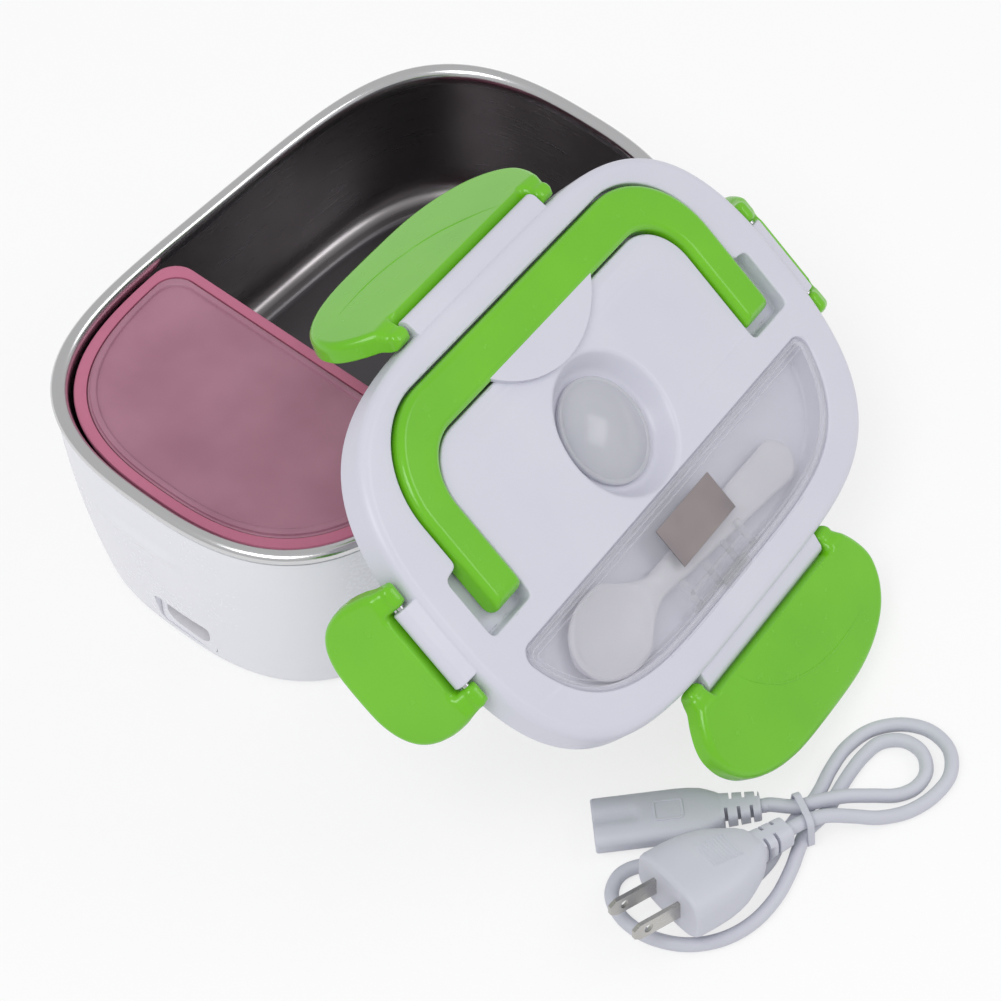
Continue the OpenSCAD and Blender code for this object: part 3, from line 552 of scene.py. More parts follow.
def swell(x, y, z):
    """How far the catch ledges push the wall out at a point."""
    side = max(0.0, 1 - (abs(x) / 33) ** 6) if abs(y) > BASE_W / 2 - BAND else 0
    end = max(0.0, 1 - (abs(y - 6) / 19) ** 6) if abs(x) > BASE_L / 2 - BAND else 0
    across = abs(z - LEDGE_Z) / LEDGE_HALF
    return (1.0 + math.cos(math.pi * min(1.0, across))) * LEDGE_OUT * max(side, end)


outside = [(draw_in(1) + 1.2, 1.0), (draw_in(1.6) + 0.5, 1.6), (draw_in(2.6), 2.6)]
outside += [(draw_in(z), z) for z in (5, 8, 12, 16, 21, 26, 31, 36, 41, 45, 48)]
outside += [(draw_in(z), z) for z in [49.5 + 1.1 * i for i in range(13)]]
outside += [(draw_in(z), z) for z in (66, 70, 74, 77.2)]
inside = [(draw_in(z) + 2.4, z) for z in (77.2, 60, 44, 28, 14, 1)]
rings = []
for k, (inset, z) in enumerate(outside + inside):
    ring = base_ring(inset, z)
    if k < len(outside):
        ring = [(x + math.copysign(swell(x, y, z), x) * (abs(x) > BASE_L / 2 - BAND and abs(y) < 32),
            y + math.copysign(swell(x, y, z), y) * (abs(y) > BASE_W / 2 - BAND and abs(x) < 40), z)
            for x, y, z in ring]
    rings.append(ring)
mouth = closed([[(x, y, z) for y, z in rounded_box(-19, 7, 5, 21, 3)] for x in (-125, -90)])
cutter = piece("mouth_cutter", mouth, WHITE, "base")
piece("base_wall", hoop(rings), WHITE, "base", ["outer_shell"], cutters=[cutter])
discard([cutter])

# %% [markdown]
# ## Screws and feet by Geometry Nodes
# Eight equal screws and four equal feet are the same shape at several places, which is what
# instancing is for. The tree takes the piece and a cloud of points, sets the one on the other,
# and ends with real geometry and its material, because an export drops instances.

# %% A tree that sets one piece on many points
def set_on_points(name, material):
    tree = bpy.data.node_groups.new(name, "GeometryNodeTree")
    face = tree.interface
    face.new_socket("Points", in_out="INPUT", socket_type="NodeSocketGeometry")
    face.new_socket("Piece", in_out="INPUT", socket_type="NodeSocketObject")
    face.new_socket("Size", in_out="INPUT", socket_type="NodeSocketFloat").default_value = 1.0
    face.new_socket("Geometry", in_out="OUTPUT", socket_type="NodeSocketGeometry")
    new = tree.nodes.new
    start, end = new("NodeGroupInput"), new("NodeGroupOutput")
    info, put = new("GeometryNodeObjectInfo"), new("GeometryNodeInstanceOnPoints")
    real, dress = new("GeometryNodeRealizeInstances"), new("GeometryNodeSetMaterial")
    turn_at = new("GeometryNodeInputNamedAttribute")
    turn_at.data_type = "FLOAT_VECTOR"
    turn_at.inputs["Name"].default_value = "turn"
    dress.inputs["Material"].default_value = material
    for a, b in ((start.outputs["Points"], put.inputs["Points"]),
        (start.outputs["Piece"], info.inputs["Object"]),
        (info.outputs["Geometry"], put.inputs["Instance"]), (start.outputs["Size"], put.inputs["Scale"]),
        (turn_at.outputs["Attribute"], put.inputs["Rotation"]),
        (put.outputs["Instances"], real.inputs["Geometry"]),
        (real.outputs["Geometry"], dress.inputs["Geometry"]),
        (dress.outputs["Geometry"], end.inputs["Geometry"])):
        tree.links.new(a, b)
    return tree


def repeated(name, pattern, places, turns, material, body, nodes=(), sharp=38):
    """A finished piece made of one pattern object at many places, given in millimetres."""
    cloud = bpy.data.meshes.new(name + "_points")
    cloud.from_pydata([Vector(p) * MM for p in places], [], [])
    turn = cloud.attributes.new("turn", "FLOAT_VECTOR", "POINT")
    for item, value in zip(turn.data, turns):
        item.vector = value
    obj = link(name, cloud, material)
    tree = set_on_points(name + "_tree", material)
    mod = obj.modifiers.new("set", "NODES")
    mod.node_group = tree
    sockets = [i for i in tree.interface.items_tree if i.item_type == "SOCKET" and i.in_out == "INPUT"]
    ids = {i.name: i.identifier for i in sockets}
    mod[ids["Piece"]] = pattern
    mod[ids["Size"]] = 1.0
    bake_modifiers(obj)
    smooth(obj, sharp)
    hand_over(obj, body, nodes)
    print(name, len(places), "copies,", len(obj.data.polygons), "faces")
    return obj


def pattern_of(name, skins, material):
    obj = piece(name, skins, material, "base")
    obj.parent = None
    return obj


def turned_skin(profile, n=40):
    """A closed solid of revolution about Z, from (radius, z) pairs that start and end on the axis."""
    s = Skin()
    rings = s.wall([[(r * math.cos(2 * math.pi * i / n), r * math.sin(2 * math.pi * i / n), z)
        for i in range(n)]
        for r, z in profile if r > 1e-6])
    for ring, z in ((rings[0], profile[0][1]), (rings[-1], profile[-1][1])):
        tip = s.ring([(0, 0, z)])[0]
        for i in range(n):
            s.faces.append((ring[i], ring[(i + 1) % n], tip))
    return s


# %% Screws and feet
screw_body = turned_skin([(0, 0.75), (0.9, 0.75), (1.1, 0.35), (2.2, 0), (2.6, 0.2), (2.7, 0.6),
    (2.7, 1.5), (1.25, 1.5),
    (1.25, 10.6), (0.9, 11), (0, 11)], 28)
screw = pattern_of("screw_pattern", screw_body, SCREW_STEEL)
places = [(x, y, 0.6) for x in (-95.5, 95.5) for y in (-30, 30)] + [(x, y, 23.6) for x in (-58, 58)
    for y in (-28, 28)]
turns = [(0, 0, 0.4 * i) for i in range(4)] + [(math.pi, 0, 0.3 * i) for i in range(4)]
repeated("screws", screw, places, turns, SCREW_STEEL, "base", ["case_screws"])
foot = pattern_of("foot_pattern", turned_skin([(0, 0), (6.9, 0), (7.4, 0.15), (7.9, 0.7), (8, 1),
    (0, 1)]), RUBBER)
repeated("feet", foot, [(x, y, 0) for x in (-80, 80) for y in (-46, 46)], [(0, 0, 0)] * 4, RUBBER, "base",
    ["rubber_feet"])
discard([screw, foot])

# %% [markdown]
# ## The steel tray
# The tray is deep-drawn from thin sheet: straight brushed walls, a wide bend, a small step and a
# flat floor, with the edge rolled over outwards. One closed skin follows the sheet's outside,
# then the roll, then its inside.

# %% Tray
FLOOR = 25
tray_outside = [(19, FLOOR - 0.9), (15.5, FLOOR - 0.8), (13, FLOOR - 0.2), (10.9, FLOOR + 1),
    (9.3, FLOOR + 2.8), (8.2, FLOOR + 5.2), (7.5, FLOOR + 8.5),
    (7.0, FLOOR + 13), (5.6, 52), (4.5, 74)]
tray_roll = [(4.1, 77.0), (3.4, 77.35), (2.4, 77.5)]
tray_roll += [(2.2 - 2.2 * math.cos(t), 79.75 + 2.25 * math.sin(t)) for t in
    [math.radians(a) for a in range(-80, 96, 12)]]
tray_roll += [(3.3, 81.8), (4.2, 81.1), (4.8, 80.1), (5.2, 78.6)]
tray_inside = [(5.5, 76), (6.5, 52), (7.9, FLOOR + 13), (8.4, FLOOR + 9), (9.1, FLOOR + 6),
    (10.1, FLOOR + 3.9), (11.4, FLOOR + 2.4),
    (12.8, FLOOR + 1.5), (14.4, FLOOR + 1.15), (15.8, FLOOR + 1.1), (16.5, FLOOR + 0.85),
    (16.9, FLOOR + 0.4), (17.4, FLOOR + 0.1), (18.4, FLOOR)]
tray = closed([base_ring(i, z) for i, z in tray_outside + tray_roll + tray_inside])
piece("tray_bowl", tray, TRAY_STEEL, "tray", ["steel_tray"], sharp=60)

# %% [markdown]
# ## The food container
# It fills the left end of the tray: curved like the tray on three sides, straight across on the
# fourth. The corner outline is found by walking round the superellipse and cutting it off by a
# line with rounded corners. Its see-through lid snaps inside a low lip.

# %% Container
CROSS_X, RIM_INSET = -27, 6.6


def d_outline(inset, r=9.0):
    """The plan of the container at a given inset: the left part of the rim's shape."""
    sideways = [(-y, x) for x, y in plan(BASE_L - 2 * inset, BASE_W - 2 * inset, FINE)]
    return [(y, -x) for x, y in cut_off(sideways, CROSS_X - inset + RIM_INSET, r)]


top = BASE_H - 4
box_rings = [(17.5, 25.3), (14.4, 25.9), (12.6, 27.4), (11.3, 30), (10.5, 33.5), (10.1, 40), (9.4, 60),
    (9.0, top - 2.6),
    (6.9, top - 2.4), (6.6, top - 2.0), (6.6, top - 0.5), (6.9, top - 0.1), (7.4, top), (9.9, top),
    (10.3, top - 0.2),
    (10.4, top - 0.6), (10.4, top - 1.7), (11.7, top - 1.8), (12, top - 2.1), (12.4, 60), (12.9, 38),
    (13.6, 32.6),
    (14.8, 29.4), (16.6, 27.5), (19, 26.9)]
box = closed([lift(d_outline(i), z) for i, z in box_rings])
piece("container_bowl", box, PINK, "container", ["food_container"])

lid_rings = [(11.2, top - 1.45), (10.8, top - 1.4), (10.7, top - 1.2), (10.7, top - 0.55),
    (10.9, top - 0.4), (11.3, top - 0.35),
    (11.5, top + 0.5), (11.9, top + 0.7), (13, top + 0.7), (13.3, top + 0.5), (13.6, top - 0.3),
    (14.2, top - 0.4)]
cap = closed([lift(d_outline(i, 8.5), z) for i, z in lid_rings])
tab = closed([lift(grow(rounded_box(-67, -49, -60, -52, 3.5), g), z) for g, z in
    ((-0.4, top - 0.95), (0, top - 0.7), (0, top + 0.45), (-0.25, top + 0.65), (-0.7, top + 0.7))])
piece("container_cap", [cap, tab], MAUVE, "container_top", ["container_lid"])

# %% [markdown]
# ## The lid
# The lid is one moulded plate with everything sunk into its top: a channel for the handle, a
# round dish for the vent, a scoop for a finger and the long bay of the spoon. Each recess is a
# closed block, a stack of outlines that starts above the top face, rolls over the edge and runs
# down to a floor. Booleans cut the four blocks out of the plate.

# %% Outlines of the recesses
LID_L, LID_W, LID_T = 224, 143, 12
HALF, TOP_V, ARM, GRIP, BEND, INNER = 90.5, 60.5, 14.5, 16, 33, 19
CHANNEL_GAP = 0.9
COMP_V, COMP_L, COMP_W = -21, 193, 119


def handle_bends(g, n_outer, n_inner):
    """The outer and the inner bend of the handle, pushed outwards by g."""
    h, i, t = HALF + g, HALF - ARM - g, TOP_V + g
    outer = (arc(h - BEND, t - BEND, BEND, 0, 90, n_outer)
        + arc(BEND - h, t - BEND, BEND, 90, 180, n_outer))
    high = t - GRIP - 2 * g - INNER
    return outer, arc(INNER - i, high, INNER, 180, 90, n_inner) + arc(i - INNER, high, INNER,
        90, 0, n_inner)


def handle_outline():
    outer, inner = handle_bends(0.0, 20, 16)
    i, low = HALF - ARM, -7
    return [(HALF, low), *outer, (-HALF, low), (-i, low), *inner, (i, low)]


def channel_outline():
    """The handle's channel with a finger pocket at each arm end, as one outline."""
    outer, inner = handle_bends(CHANNEL_GAP, 24, 18)
    left = [(-HALF - CHANNEL_GAP, 12.6), (-98.6, 11.6), (-98.6, -11.4), (ARM + CHANNEL_GAP - HALF, -11.4)]
    right = [(-x, y) for x, y in reversed(left)]
    return even(round_corners(outer + left + inner + right, 2.6, 6), 560)


def round_corners(outline, r, n=5):
    """Each sharp corner of an outline is replaced by an arc of points."""
    out, count = [], len(outline)
    for i, p in enumerate(outline):
        a, b, c = Vector(outline[i - 1]), Vector(p), Vector(outline[(i + 1) % count])
        u, w = a - b, c - b
        if u.length < 1e-6 or w.length < 1e-6:
            continue
        angle = u.angle(w)
        if angle > math.radians(150):
            out.append(p)
            continue
        cut = min(r / math.tan(angle / 2), u.length * 0.49, w.length * 0.49)
        s, e = b + u.normalized() * cut, b + w.normalized() * cut
        for k in range(n + 1):
            t = k / n
            q = (1 - t) ** 2 * s + 2 * t * (1 - t) * b + t ** 2 * e
            out.append((q.x, q.y))
    return out


def bay_outline(g=0.0, r=4.6):
    """The spoon bay: the lower part of the lid's own shape, cut straight across its top."""
    return cut_off(plan(COMP_L + 2 * g, COMP_W + 2 * g, FINE), COMP_V + g, r)


def vent_outline(r, n=96):
    return [(r * math.cos(2 * math.pi * i / n), 5 + r * math.sin(2 * math.pi * i / n)) for i in range(n)]


print("channel", len(channel_outline()), "bay", len(bay_outline()))

# %% Shell of the lid
def recess_cutter(name, rows):
    """A closed cutting block from outlines that run down into the lid, with a soft lip at the top."""
    block = closed([lift(rows[0][0], 2.0), *(lift(o, n) for o, n in rows)])
    return piece(name, block, LID_WHITE, "lid", at=LID)


def soft_rows(outline, depth, edge, fillet, steps=4):
    """Rows down a recess: a rounded edge at the top and a fillet at the floor."""
    turns = [math.pi / 2 * k / steps for k in range(steps + 1)]
    rows = [(grow(outline, edge * (1 - math.sin(t))), -edge * (1 - math.cos(t))) for t in turns]
    return rows + [(grow(outline, -fillet * (1 - math.cos(t))), -depth + fillet * (1 - math.sin(t)))
        for t in turns]


edge_rows = [(3.5, -10), (3.5, -LID_T), (0.9, -LID_T), (0.3, -11.7), (0, -11), (0, -3.6), (0.15, -2.6),
    (0.55, -1.6), (1.2, -0.8),
    (2.1, -0.25), (3.3, 0)]
shell = closed([lift(plan(LID_L - 2 * i, LID_W - 2 * i), n) for i, n in edge_rows])
bay_rows = [(bay_outline(g, 4.6 + g), n) for g,
    n in ((0.7, 0), (0.4, -0.08), (0.15, -0.3), (0, -0.7), (0, -1.9), (-1.7, -1.9),
    (-2, -2.2), (-2.3, -6.6), (-2.7, -7.8), (-3.4, -8.4))]
dish_rows = [(vent_outline(r), z) for r,
    z in ((27.0, 0), (26.4, -0.06), (25.9, -0.25), (25.4, -0.6), (25.0, -1.1), (24.3, -2.4),
    (23.2, -4.6), (22.3, -6.2), (21.5, -7.3), (20.6, -7.8), (19.6, -8))]
# The scoop is a cap of one sphere, centred this far up and above the top face
SCOOP_R, SCOOP_UP, SCOOP_V = 111.0, 102, 76
scoop_rows = []
for n in (0, -0.12, -0.4, -0.8, -1.4, -2.2, -3.2, -4.4, -5.2):
    r = math.sqrt(SCOOP_R ** 2 - (SCOOP_UP - n) ** 2) + (0.6 if n == 0 else 0.0)
    low = [(r * math.sin(t), SCOOP_V - r * math.cos(t))
        for t in [math.radians(a / 2) for a in range(-120, 121)]]
    low = [(x, y) for x, y in low if y < 49]
    scoop_rows.append((spread(low, 48) + [(low[-1][0], 52), (low[0][0], 52)], n))
cutters = [recess_cutter("cut_channel", soft_rows(channel_outline(), 6.2, 0.7, 0.9)),
    recess_cutter("cut_bay", bay_rows),
    recess_cutter("cut_dish", dish_rows), recess_cutter("cut_scoop", scoop_rows)]
piece("lid_body", shell, LID_WHITE, "lid", ["lid_shell"], at=LID, sharp=30,
    cutters=cutters)
discard(cutters)

# %% [markdown]
# ## Lugs
# A latch turns on a bar that stands out from the lid's edge. All four bars are drawn with the
# hinge line on X and then set at their edge.

# %% Lugs at the four edges
HINGE_X, HINGE_Y, HINGE_N = 115.2, 74.6, -5.5
EDGES = {name: Matrix.Translation((x, y, HINGE_N)) @ turned(z=z) for name, x, y, z in (
    ("front", 0, -HINGE_Y, 0), ("back", 0, HINGE_Y, 180), ("left", -HINGE_X, 0, -90),
    ("right", HINGE_X, 0, 90))}


def lug_skin(half):
    """A bar along X whose round nose lies on the hinge line and whose root is inside the lid."""
    side = [(6, -3.1), (0, -3.1)] + [(-3.05 * math.sin(t), -3.05 * math.cos(t))
        for t in [math.radians(a) for a in range(12, 181, 12)]]
    side += [(1.2, 3.3), (3.4, 3.75), (6, 4.0)]
    return closed([[(x, y, z) for y, z in grow(side, -g)] for x, g in (
        (-half, 0.5), (-half + 0.15, 0.2), (-half + 0.5, 0), (half - 0.5, 0), (half - 0.15, 0.2),
        (half, 0.5))])


def placed(skin, matrix):
    skin.points = [matrix @ p for p in skin.points]
    return skin


lugs = [placed(lug_skin(40 if name in ("front", "back") else 15), place) for name, place in EDGES.items()]
piece("lid_lugs", lugs, LID_WHITE, "lid", at=LID, sharp=35)

# %% [markdown]
# ## Rounded slabs
# The green pieces and the clear cover are flat mouldings with rounded edges, so each is a stack of
# its own outline, pulled in near the top and the bottom.

# %% Rounded slab
def slab(outline, low, high, r_top, r_low=0.6, steps=5):
    turns = [math.pi / 2 * k / steps for k in range(steps + 1)]
    rows = [lift(grow(outline, -r_low * (1 - math.sin(t))), low + r_low * (1 - math.cos(t))) for t in turns]
    rows += [lift(grow(outline, -r_top * (1 - math.cos(t))), high - r_top * (1 - math.sin(t)))
        for t in turns]
    return closed(rows)


# %% [markdown]
# ## Handle
# The bar is one slab. The tips of its arms are thinned to half-rounds, where they turn.

# %% Handle
handle = slab(even(round_corners(handle_outline(), 1.8), 620), -5.5, 2.5, 2.6, 1.2)
for p in handle.points:
    if p.y < -3:
        p.z = -1.5 + (p.z + 1.5) * math.sqrt(max(0.02, 1 - ((-3 - p.y) / 4) ** 2))
piece("handle_bar", handle, GREEN, "handle", ["carry_handle"], at=LID, sharp=30)

# %% [markdown]
# ## Latches
# A latch is a broad plate with an ear on each side of its lug. Its back is hollow and has the
# hook that catches under the base's ledge. All four come from one function.

# %% Latches
LATCH_TOP, LATCH_LOW, EAR_R, EAR_START = 5.2, -2, 3.1, -4


def rounded_end(y, start, r, top, low):
    """Upper and lower face of a slab that turns into a round end of radius r beyond start."""
    t = min(1.0, (y - start) / -start)
    ease = 3 * t * t - 2 * t ** 3
    fall = math.sqrt(max(0.0, 1 - (max(0.0, y) / r) ** 2))
    return (top + (r - top) * ease) * fall, (low + (-r - low) * ease) * fall


def latch_outline(half, wide, reach, inner):
    """Drawn with the hinge line on X: a broad plate with an ear at each side of its lug."""
    k = (wide - half) / 12
    edge = [(half, 0), (half + 1.8 * k, 3), (half + 5 * k, 0.19 * reach), (half + 7.4 * k, 0.33 * reach),
        (half + 7.6 * k, 0.46 * reach), (half + 5 * k, 0.62 * reach), (half - 0.8, 0.77 * reach),
        (0.8 * half, 0.885 * reach),
        (0.57 * half, 0.96 * reach), (0.28 * half, 0.993 * reach)]
    low = [Vector((-x, -y)) for x, y in edge] + [Vector((x, -y)) for x, y in reversed(edge)]
    low = [tuple(p) for p in smooth_route(low, 6)]
    ear = arc(half - 2.6, 0.5, 2.6, 0, 90) + arc(inner + 2.6, 0.5, 2.6, 90, 180)
    notch = arc(inner - 1, -2.5, 1, 0, -90, 4)
    return even(low + ear + notch + [(-x, y) for x, y in reversed(ear + notch)], 460)


def fill_split(skin, ring, limit, holes=()):
    """Fills a flat loop, and the ears beyond a line as faces of their own."""
    first = next(i for i, k in enumerate(ring) if skin.points[k].y <= limit)
    main, run = [], []
    for k in ring[first:] + ring[:first + 1]:
        if skin.points[k].y > limit:
            run.append(k)
            continue
        if run:
            skin.fill([main[-1], *run, k])
            run = []
        main.append(k)
    skin.fill(main[:-1], holes)


def latch_skins(half, wide, reach, inner):
    outline = latch_outline(half, wide, reach, inner)
    soft = [min(1.0, max(0.22, (abs(x) - inner + 4) / 4)) if y > -3.7 else 1.0 for x, y in outline]

    def inset(by):
        return [(x + (u - x) * k, y + (v - y) * k) for (x, y), (u, v),
            k in zip(outline, grow(outline, -by), soft)]

    s = Skin()
    rows = [lift(inset(g), z) for g,
        z in ((1.0, -2), (0.4, -1.85), (0.08, -1.5), (0, -1), (0, 2.4), (0.12, 3.3), (0.45, 4.1),
        (0.95, 4.7), (1.6, 5.07), (2.4, 5.2))]
    rings = s.wall(rows)
    hollow = rounded_box(-0.68 * wide, 0.68 * wide, -0.78 * reach, -0.28 * reach, 4.5)
    dents = s.wall([lift(hollow, -2), lift(grow(hollow, -0.3), -0.2), lift(grow(hollow, -0.8), 0.2)])
    s.fill(dents[-1])
    fill_split(s, rings[0], EAR_START, [dents[0]])
    fill_split(s, rings[-1], EAR_START)
    for p in s.points:
        if p.y > EAR_START and abs(p.x) > inner - 0.6:
            top, low = rounded_end(p.y, EAR_START, EAR_R, LATCH_TOP, LATCH_LOW)
            p.z = low + (p.z - LATCH_LOW) / (LATCH_TOP - LATCH_LOW) * (top - low)
    hook = slab(rounded_box(-wide * 0.6, wide * 0.6, -reach * 0.66, -reach * 0.66 + 3, 1.0, 4), -2,
        0.4, 0.1, 0.4)
    return [s, hook]


def raised_line(path, z, half_width=0.42, rise=0.2):
    """A thin moulded line along a path on a flat face."""
    points = smooth_route([Vector(p) for p in path], 12)
    rows = []
    for i, p in enumerate(points):
        run = (points[min(i + 1, len(points) - 1)] - points[max(i - 1, 0)]).normalized()
        out = Vector((run.y, -run.x))
        taper = min(1.0, 4 * min(i, len(points) - 1 - i) / len(points) + 0.1)
        rows.append([(*(p + out * w * half_width * taper), z + h) for w, h in (
            (-1, -0.15), (-0.8, rise * 0.6 * taper), (0, rise * taper), (0.8, rise * 0.6 * taper),
            (1, -0.15))])
    return closed(rows)


LONG, SHORT = (49, 61, 42, 41), (24, 27.5, 32, 16)
for side, size, rest in (("front", LONG, 10), ("back", LONG, 66), ("left", SHORT, 75),
    ("right", SHORT, 60)):
    skins = latch_skins(*size)
    if size is LONG:
        skins.append(raised_line([(-29, -4.6), (-24, -11), (-13, -19.9), (0, -25), (12.9, -27.4),
            (26, -27.6), (38.9, -26.2)], 5.2))
    piece(side + "_latch_plate", skins, GREEN, "latch_" + side, [side + "_latch"],
        at=LID @ EDGES[side] @ turned(x=rest),
        sharp=32)

# %% [markdown]
# ## Vent plug, spoon and its cover
# The plug is a solid of revolution. The spoon is a row of cross-sections: each has its own half
# width, a top that dips into the bowl and a bottom that bulges under it. The cover is a clear
# plate with a double rim, a hinge rod on its straight side and a moulded clip at its curved side.

# %% Vent plug
dome = [(17.2 * math.sin(t), -34.3 + 33 * math.sqrt(max(0, 1 - (17.2 / 33 * math.sin(t)) ** 2)))
    for t in [math.radians(a) for a in range(90, -1, -6)]]
plug_profile = [(0, -12), (2.6, -12), (3, -11.6), (3, -7.7), (18.5, -7.7), (18.9, -7.4), (18.9, -6.5),
    (18.6, -6.15), (17.9, -6.02)]
vent = turned_skin(plug_profile + dome[:-1] + [(0, -1.3)], 80)
piece("vent_dome", placed(vent, Matrix.Translation((0, 5, 0))), FROSTED, "vent", ["vent_plug"], at=LID,
    sharp=40)

# %% Spoon
BOWL_W, SPOON_L = 29, 134


def spoon_half(x):
    if x < 30:
        return math.sqrt(max(0.004, 1 - ((x - 21) / (21 if x < 21 else 23)) ** 2)) * BOWL_W / 2
    if x < 48:
        return 4.4 + (BOWL_W / 2 * 0.92 - 4.4) * ((48 - x) / 18) ** 1.6
    if x < SPOON_L - 7:
        return 4.4 + 3.4 * (x - 48) / (SPOON_L - 55)
    return 7.8 * math.sqrt(max(0.004, 1 - ((x - SPOON_L + 7) / 7) ** 2))


def spoon_section(x):
    w, ring = spoon_half(x), []
    for side in (1, -1):
        for i in range(15):
            t = side * (-1 + 2 * i / 14)
            t = math.sin(t * math.pi / 2)
            y = w * t
            bowl = max(0.0, 1 - ((x - 21) / 18.8) ** 2 - (y / 12.7) ** 2)
            ball = max(0.0, 1 - ((x - 21) / 20) ** 2 - (y / 13.9) ** 2)
            ridge = 0.9 * math.exp(-((x - 50) / 9) ** 2) * (1 - t * t)
            top = 4.6 - 3.1 * bowl ** 0.72 + ridge + 0.3 * (1 - t * t) * (x > 48) - 0.8 * abs(t) ** 10
            low = 2.5 - 2.3 * ball ** 0.6 + 0.7 * abs(t) ** 8
            ring.append((x, y, top if side > 0 else low))
    return ring


stations = [SPOON_L * (t - 0.08 * math.sin(2 * math.pi * t)) for t in [i / 90 for i in range(91)]]
spoon = closed([spoon_section(min(max(x, 0.05), SPOON_L - 0.05)) for x in stations])
piece("spoon_in_bay", placed(spoon, Matrix.Translation((-76, -39, -8.2)) @ turned(z=-3)), SPOON, "lid",
    ["spoon"], at=LID,
    sharp=50)

# %% Cover of the spoon bay
flap = cut_off(plan(COMP_L - 0.7, COMP_W - 0.7, FINE), COMP_V - 1.2, 4.2)
cover_skins = [slab(flap, -1.6, -0.05, 0.35, 0.2)]
for low, high in ((1.0, 1.7), (2.9, 3.4)):
    cover_skins.append(hoop([lift(grow(flap, -g), z) for g, z in (
        (low, -0.2), (low, 0.0), (low + 0.2, 0.12), (high - 0.2, 0.12), (high, 0.0), (high, -0.2))]))
rod = turned_skin([(0, -91), (0.7, -91), (0.78, -90.8), (0.78, 90.8), (0.7, 91), (0, 91)], 20)
cover_skins.append(placed(rod, Matrix.Translation((0, COMP_V - 1.2, -0.8)) @ turned(y=90)))
cover_skins.append(slab(rounded_box(-8, 8, -COMP_W / 2 - 1.6, -COMP_W / 2 + 4, 1.4, 5), -0.85,
    -0.02, 0.3, 0.2))
for x0, x1, y0, y1, n in ((-24, 19, -57.2, -55.6, -3.6), (-20, 14, -52.6, -51.2, -3.4),
    (-22, -19.5, -57, -46, -3.2),
    (-8.5, -6.5, -57, -48, -3.2), (4, 6, -57, -48, -3.2), (14.5, 17, -57, -47, -3.2)):
    cover_skins.append(slab(rounded_box(x0, x1, y0, y1, 0.6, 4), n, -1.5, 0.1, 0.4, 3))
piece("bay_cover", cover_skins, CLEAR, "cover", ["spoon_cover"], at=LID, sharp=40)

# %% [markdown]
# ## Connector and plug
# Both ends of the cord are soft mouldings with the same kind of cross-section, an ellipse pulled
# towards a rectangle, which changes along their length. The strain relief is cut by slots from
# alternate sides, so it bends evenly, and the plug has a field of fine grip ribs on its flat side.

# %% Mouldings
def section(w, h, x, e=2.9, waist=0.0):
    power = lambda v, k: math.copysign(abs(v) ** k, v)
    ring = []
    for i in range(64):
        t = 2 * math.pi * i / 64
        y = w / 2 * power(math.cos(t), 2 / e)
        ring.append((x, y, h / 2 * power(math.sin(t), 2 / e) * (1 - waist * math.exp(-y * y / 5))))
    return ring


def moulding(stations):
    return closed([section(*row) for row in stations])


def box_skin(x0, x1, y0, y1, z0, z1):
    return closed([lift([(x0, y0), (x1, y0), (x1, y1), (x0, y1)], z) for z in (z0, z1)])


def relief_cutters(name, x0, w, count, at):
    """Thin slots from alternate sides, each a loose cutting block."""
    out = []
    for k in range(count):
        for side in (1, -1):
            x = x0 - 4.2 * k - (0 if side > 0 else 2.1)
            y = (1.6, 1.6 + w) if side > 0 else (-1.6 - w, -1.6)
            out.append(piece(f"{name}_{k}_{side}", box_skin(x, x + 1.1, *y, -10, 10), MOULDING,
                "base", at=at))
    return out


def bore(name, r, x0, x1, y, at):
    return piece(name, placed(turned_skin([(0, x0), (r, x0), (r, x1), (0, x1)], 28),
        Matrix.Translation((0, y, 0)) @ turned(y=90)),
        MOULDING, "base", at=at)


conn_rows = [(8.2, 6.4, -55.0), (9.2, 7.3, -54.8), (9.6, 7.6, -54.2), (10.6, 8, -48), (11.5, 8.2, -42),
    (12.0, 8.4, -41.6),
    (12.8, 8.7, -41), (15.4, 9.1, -38.5), (17.5, 9.4, -36), (18.8, 9.55, -32), (19.3, 9.6, -28),
    (19.3, 9.6, -20)]
conn_rows += [(19.3, 9.6, x, 2.9, w) for x,
    w in ((-17, 0), (-15.4, 0.06), (-14.2, 0.2), (-12.5, 0.26), (-6, 0.28), (-0.9, 0.28))]
conn_rows += [(19.0, 9.3, -0.35, 2.9, 0.28), (18.3, 8.6, 0, 2.9, 0.28)]
cutters = relief_cutters("slot", -44, 8, 3, CONN) + [bore("hole", 1.85, -12, 3, y, CONN)
    for y in (-4.3, 4.3)]
frame_ring = hoop([lift(grow(rounded_box(-30, -20, -4, 4, 1.5, 5), g), z) for g, z in (
    (0, 4.0), (0, 5.0), (-0.15, 5.15), (-0.65, 5.15), (-0.8, 5.0), (-0.8, 4.0))])
connector = piece("connector_moulding", moulding(conn_rows), MOULDING, "base", ["cord_connector"], at=CONN,
    sharp=35, cutters=cutters)
discard(cutters)
connector_pad = piece("connector_pad", frame_ring, MOULDING, "base", at=CONN)

plug_rows = [(8, 7.4, -48.0), (9.1, 8.4, -47.8), (9.4, 8.6, -47.2), (10, 9, -41), (10.6, 9.4, -36),
    (11.8, 10.2, -35.4),
    (14, 11.6, -34.5), (17.8, 13, -32.4), (21, 14, -30), (25.4, 15.9, -26), (29, 17.4, -22),
    (31.2, 18.4, -18),
    (32.5, 19, -14), (33, 19.3, -9), (33, 19.4, -2.2), (32.5, 19.0, -1.0), (31.4, 18, -0.35), (30, 16.6, 0)]
cutters = relief_cutters("slot", -38, 7, 2, PLUG)
plug_moulding = piece("plug_moulding", moulding([(w, h, x, 3.3) for w, h, x in plug_rows]), MOULDING,
    "base", ["plug_body"],
    at=PLUG, sharp=35, cutters=cutters)
discard(cutters)

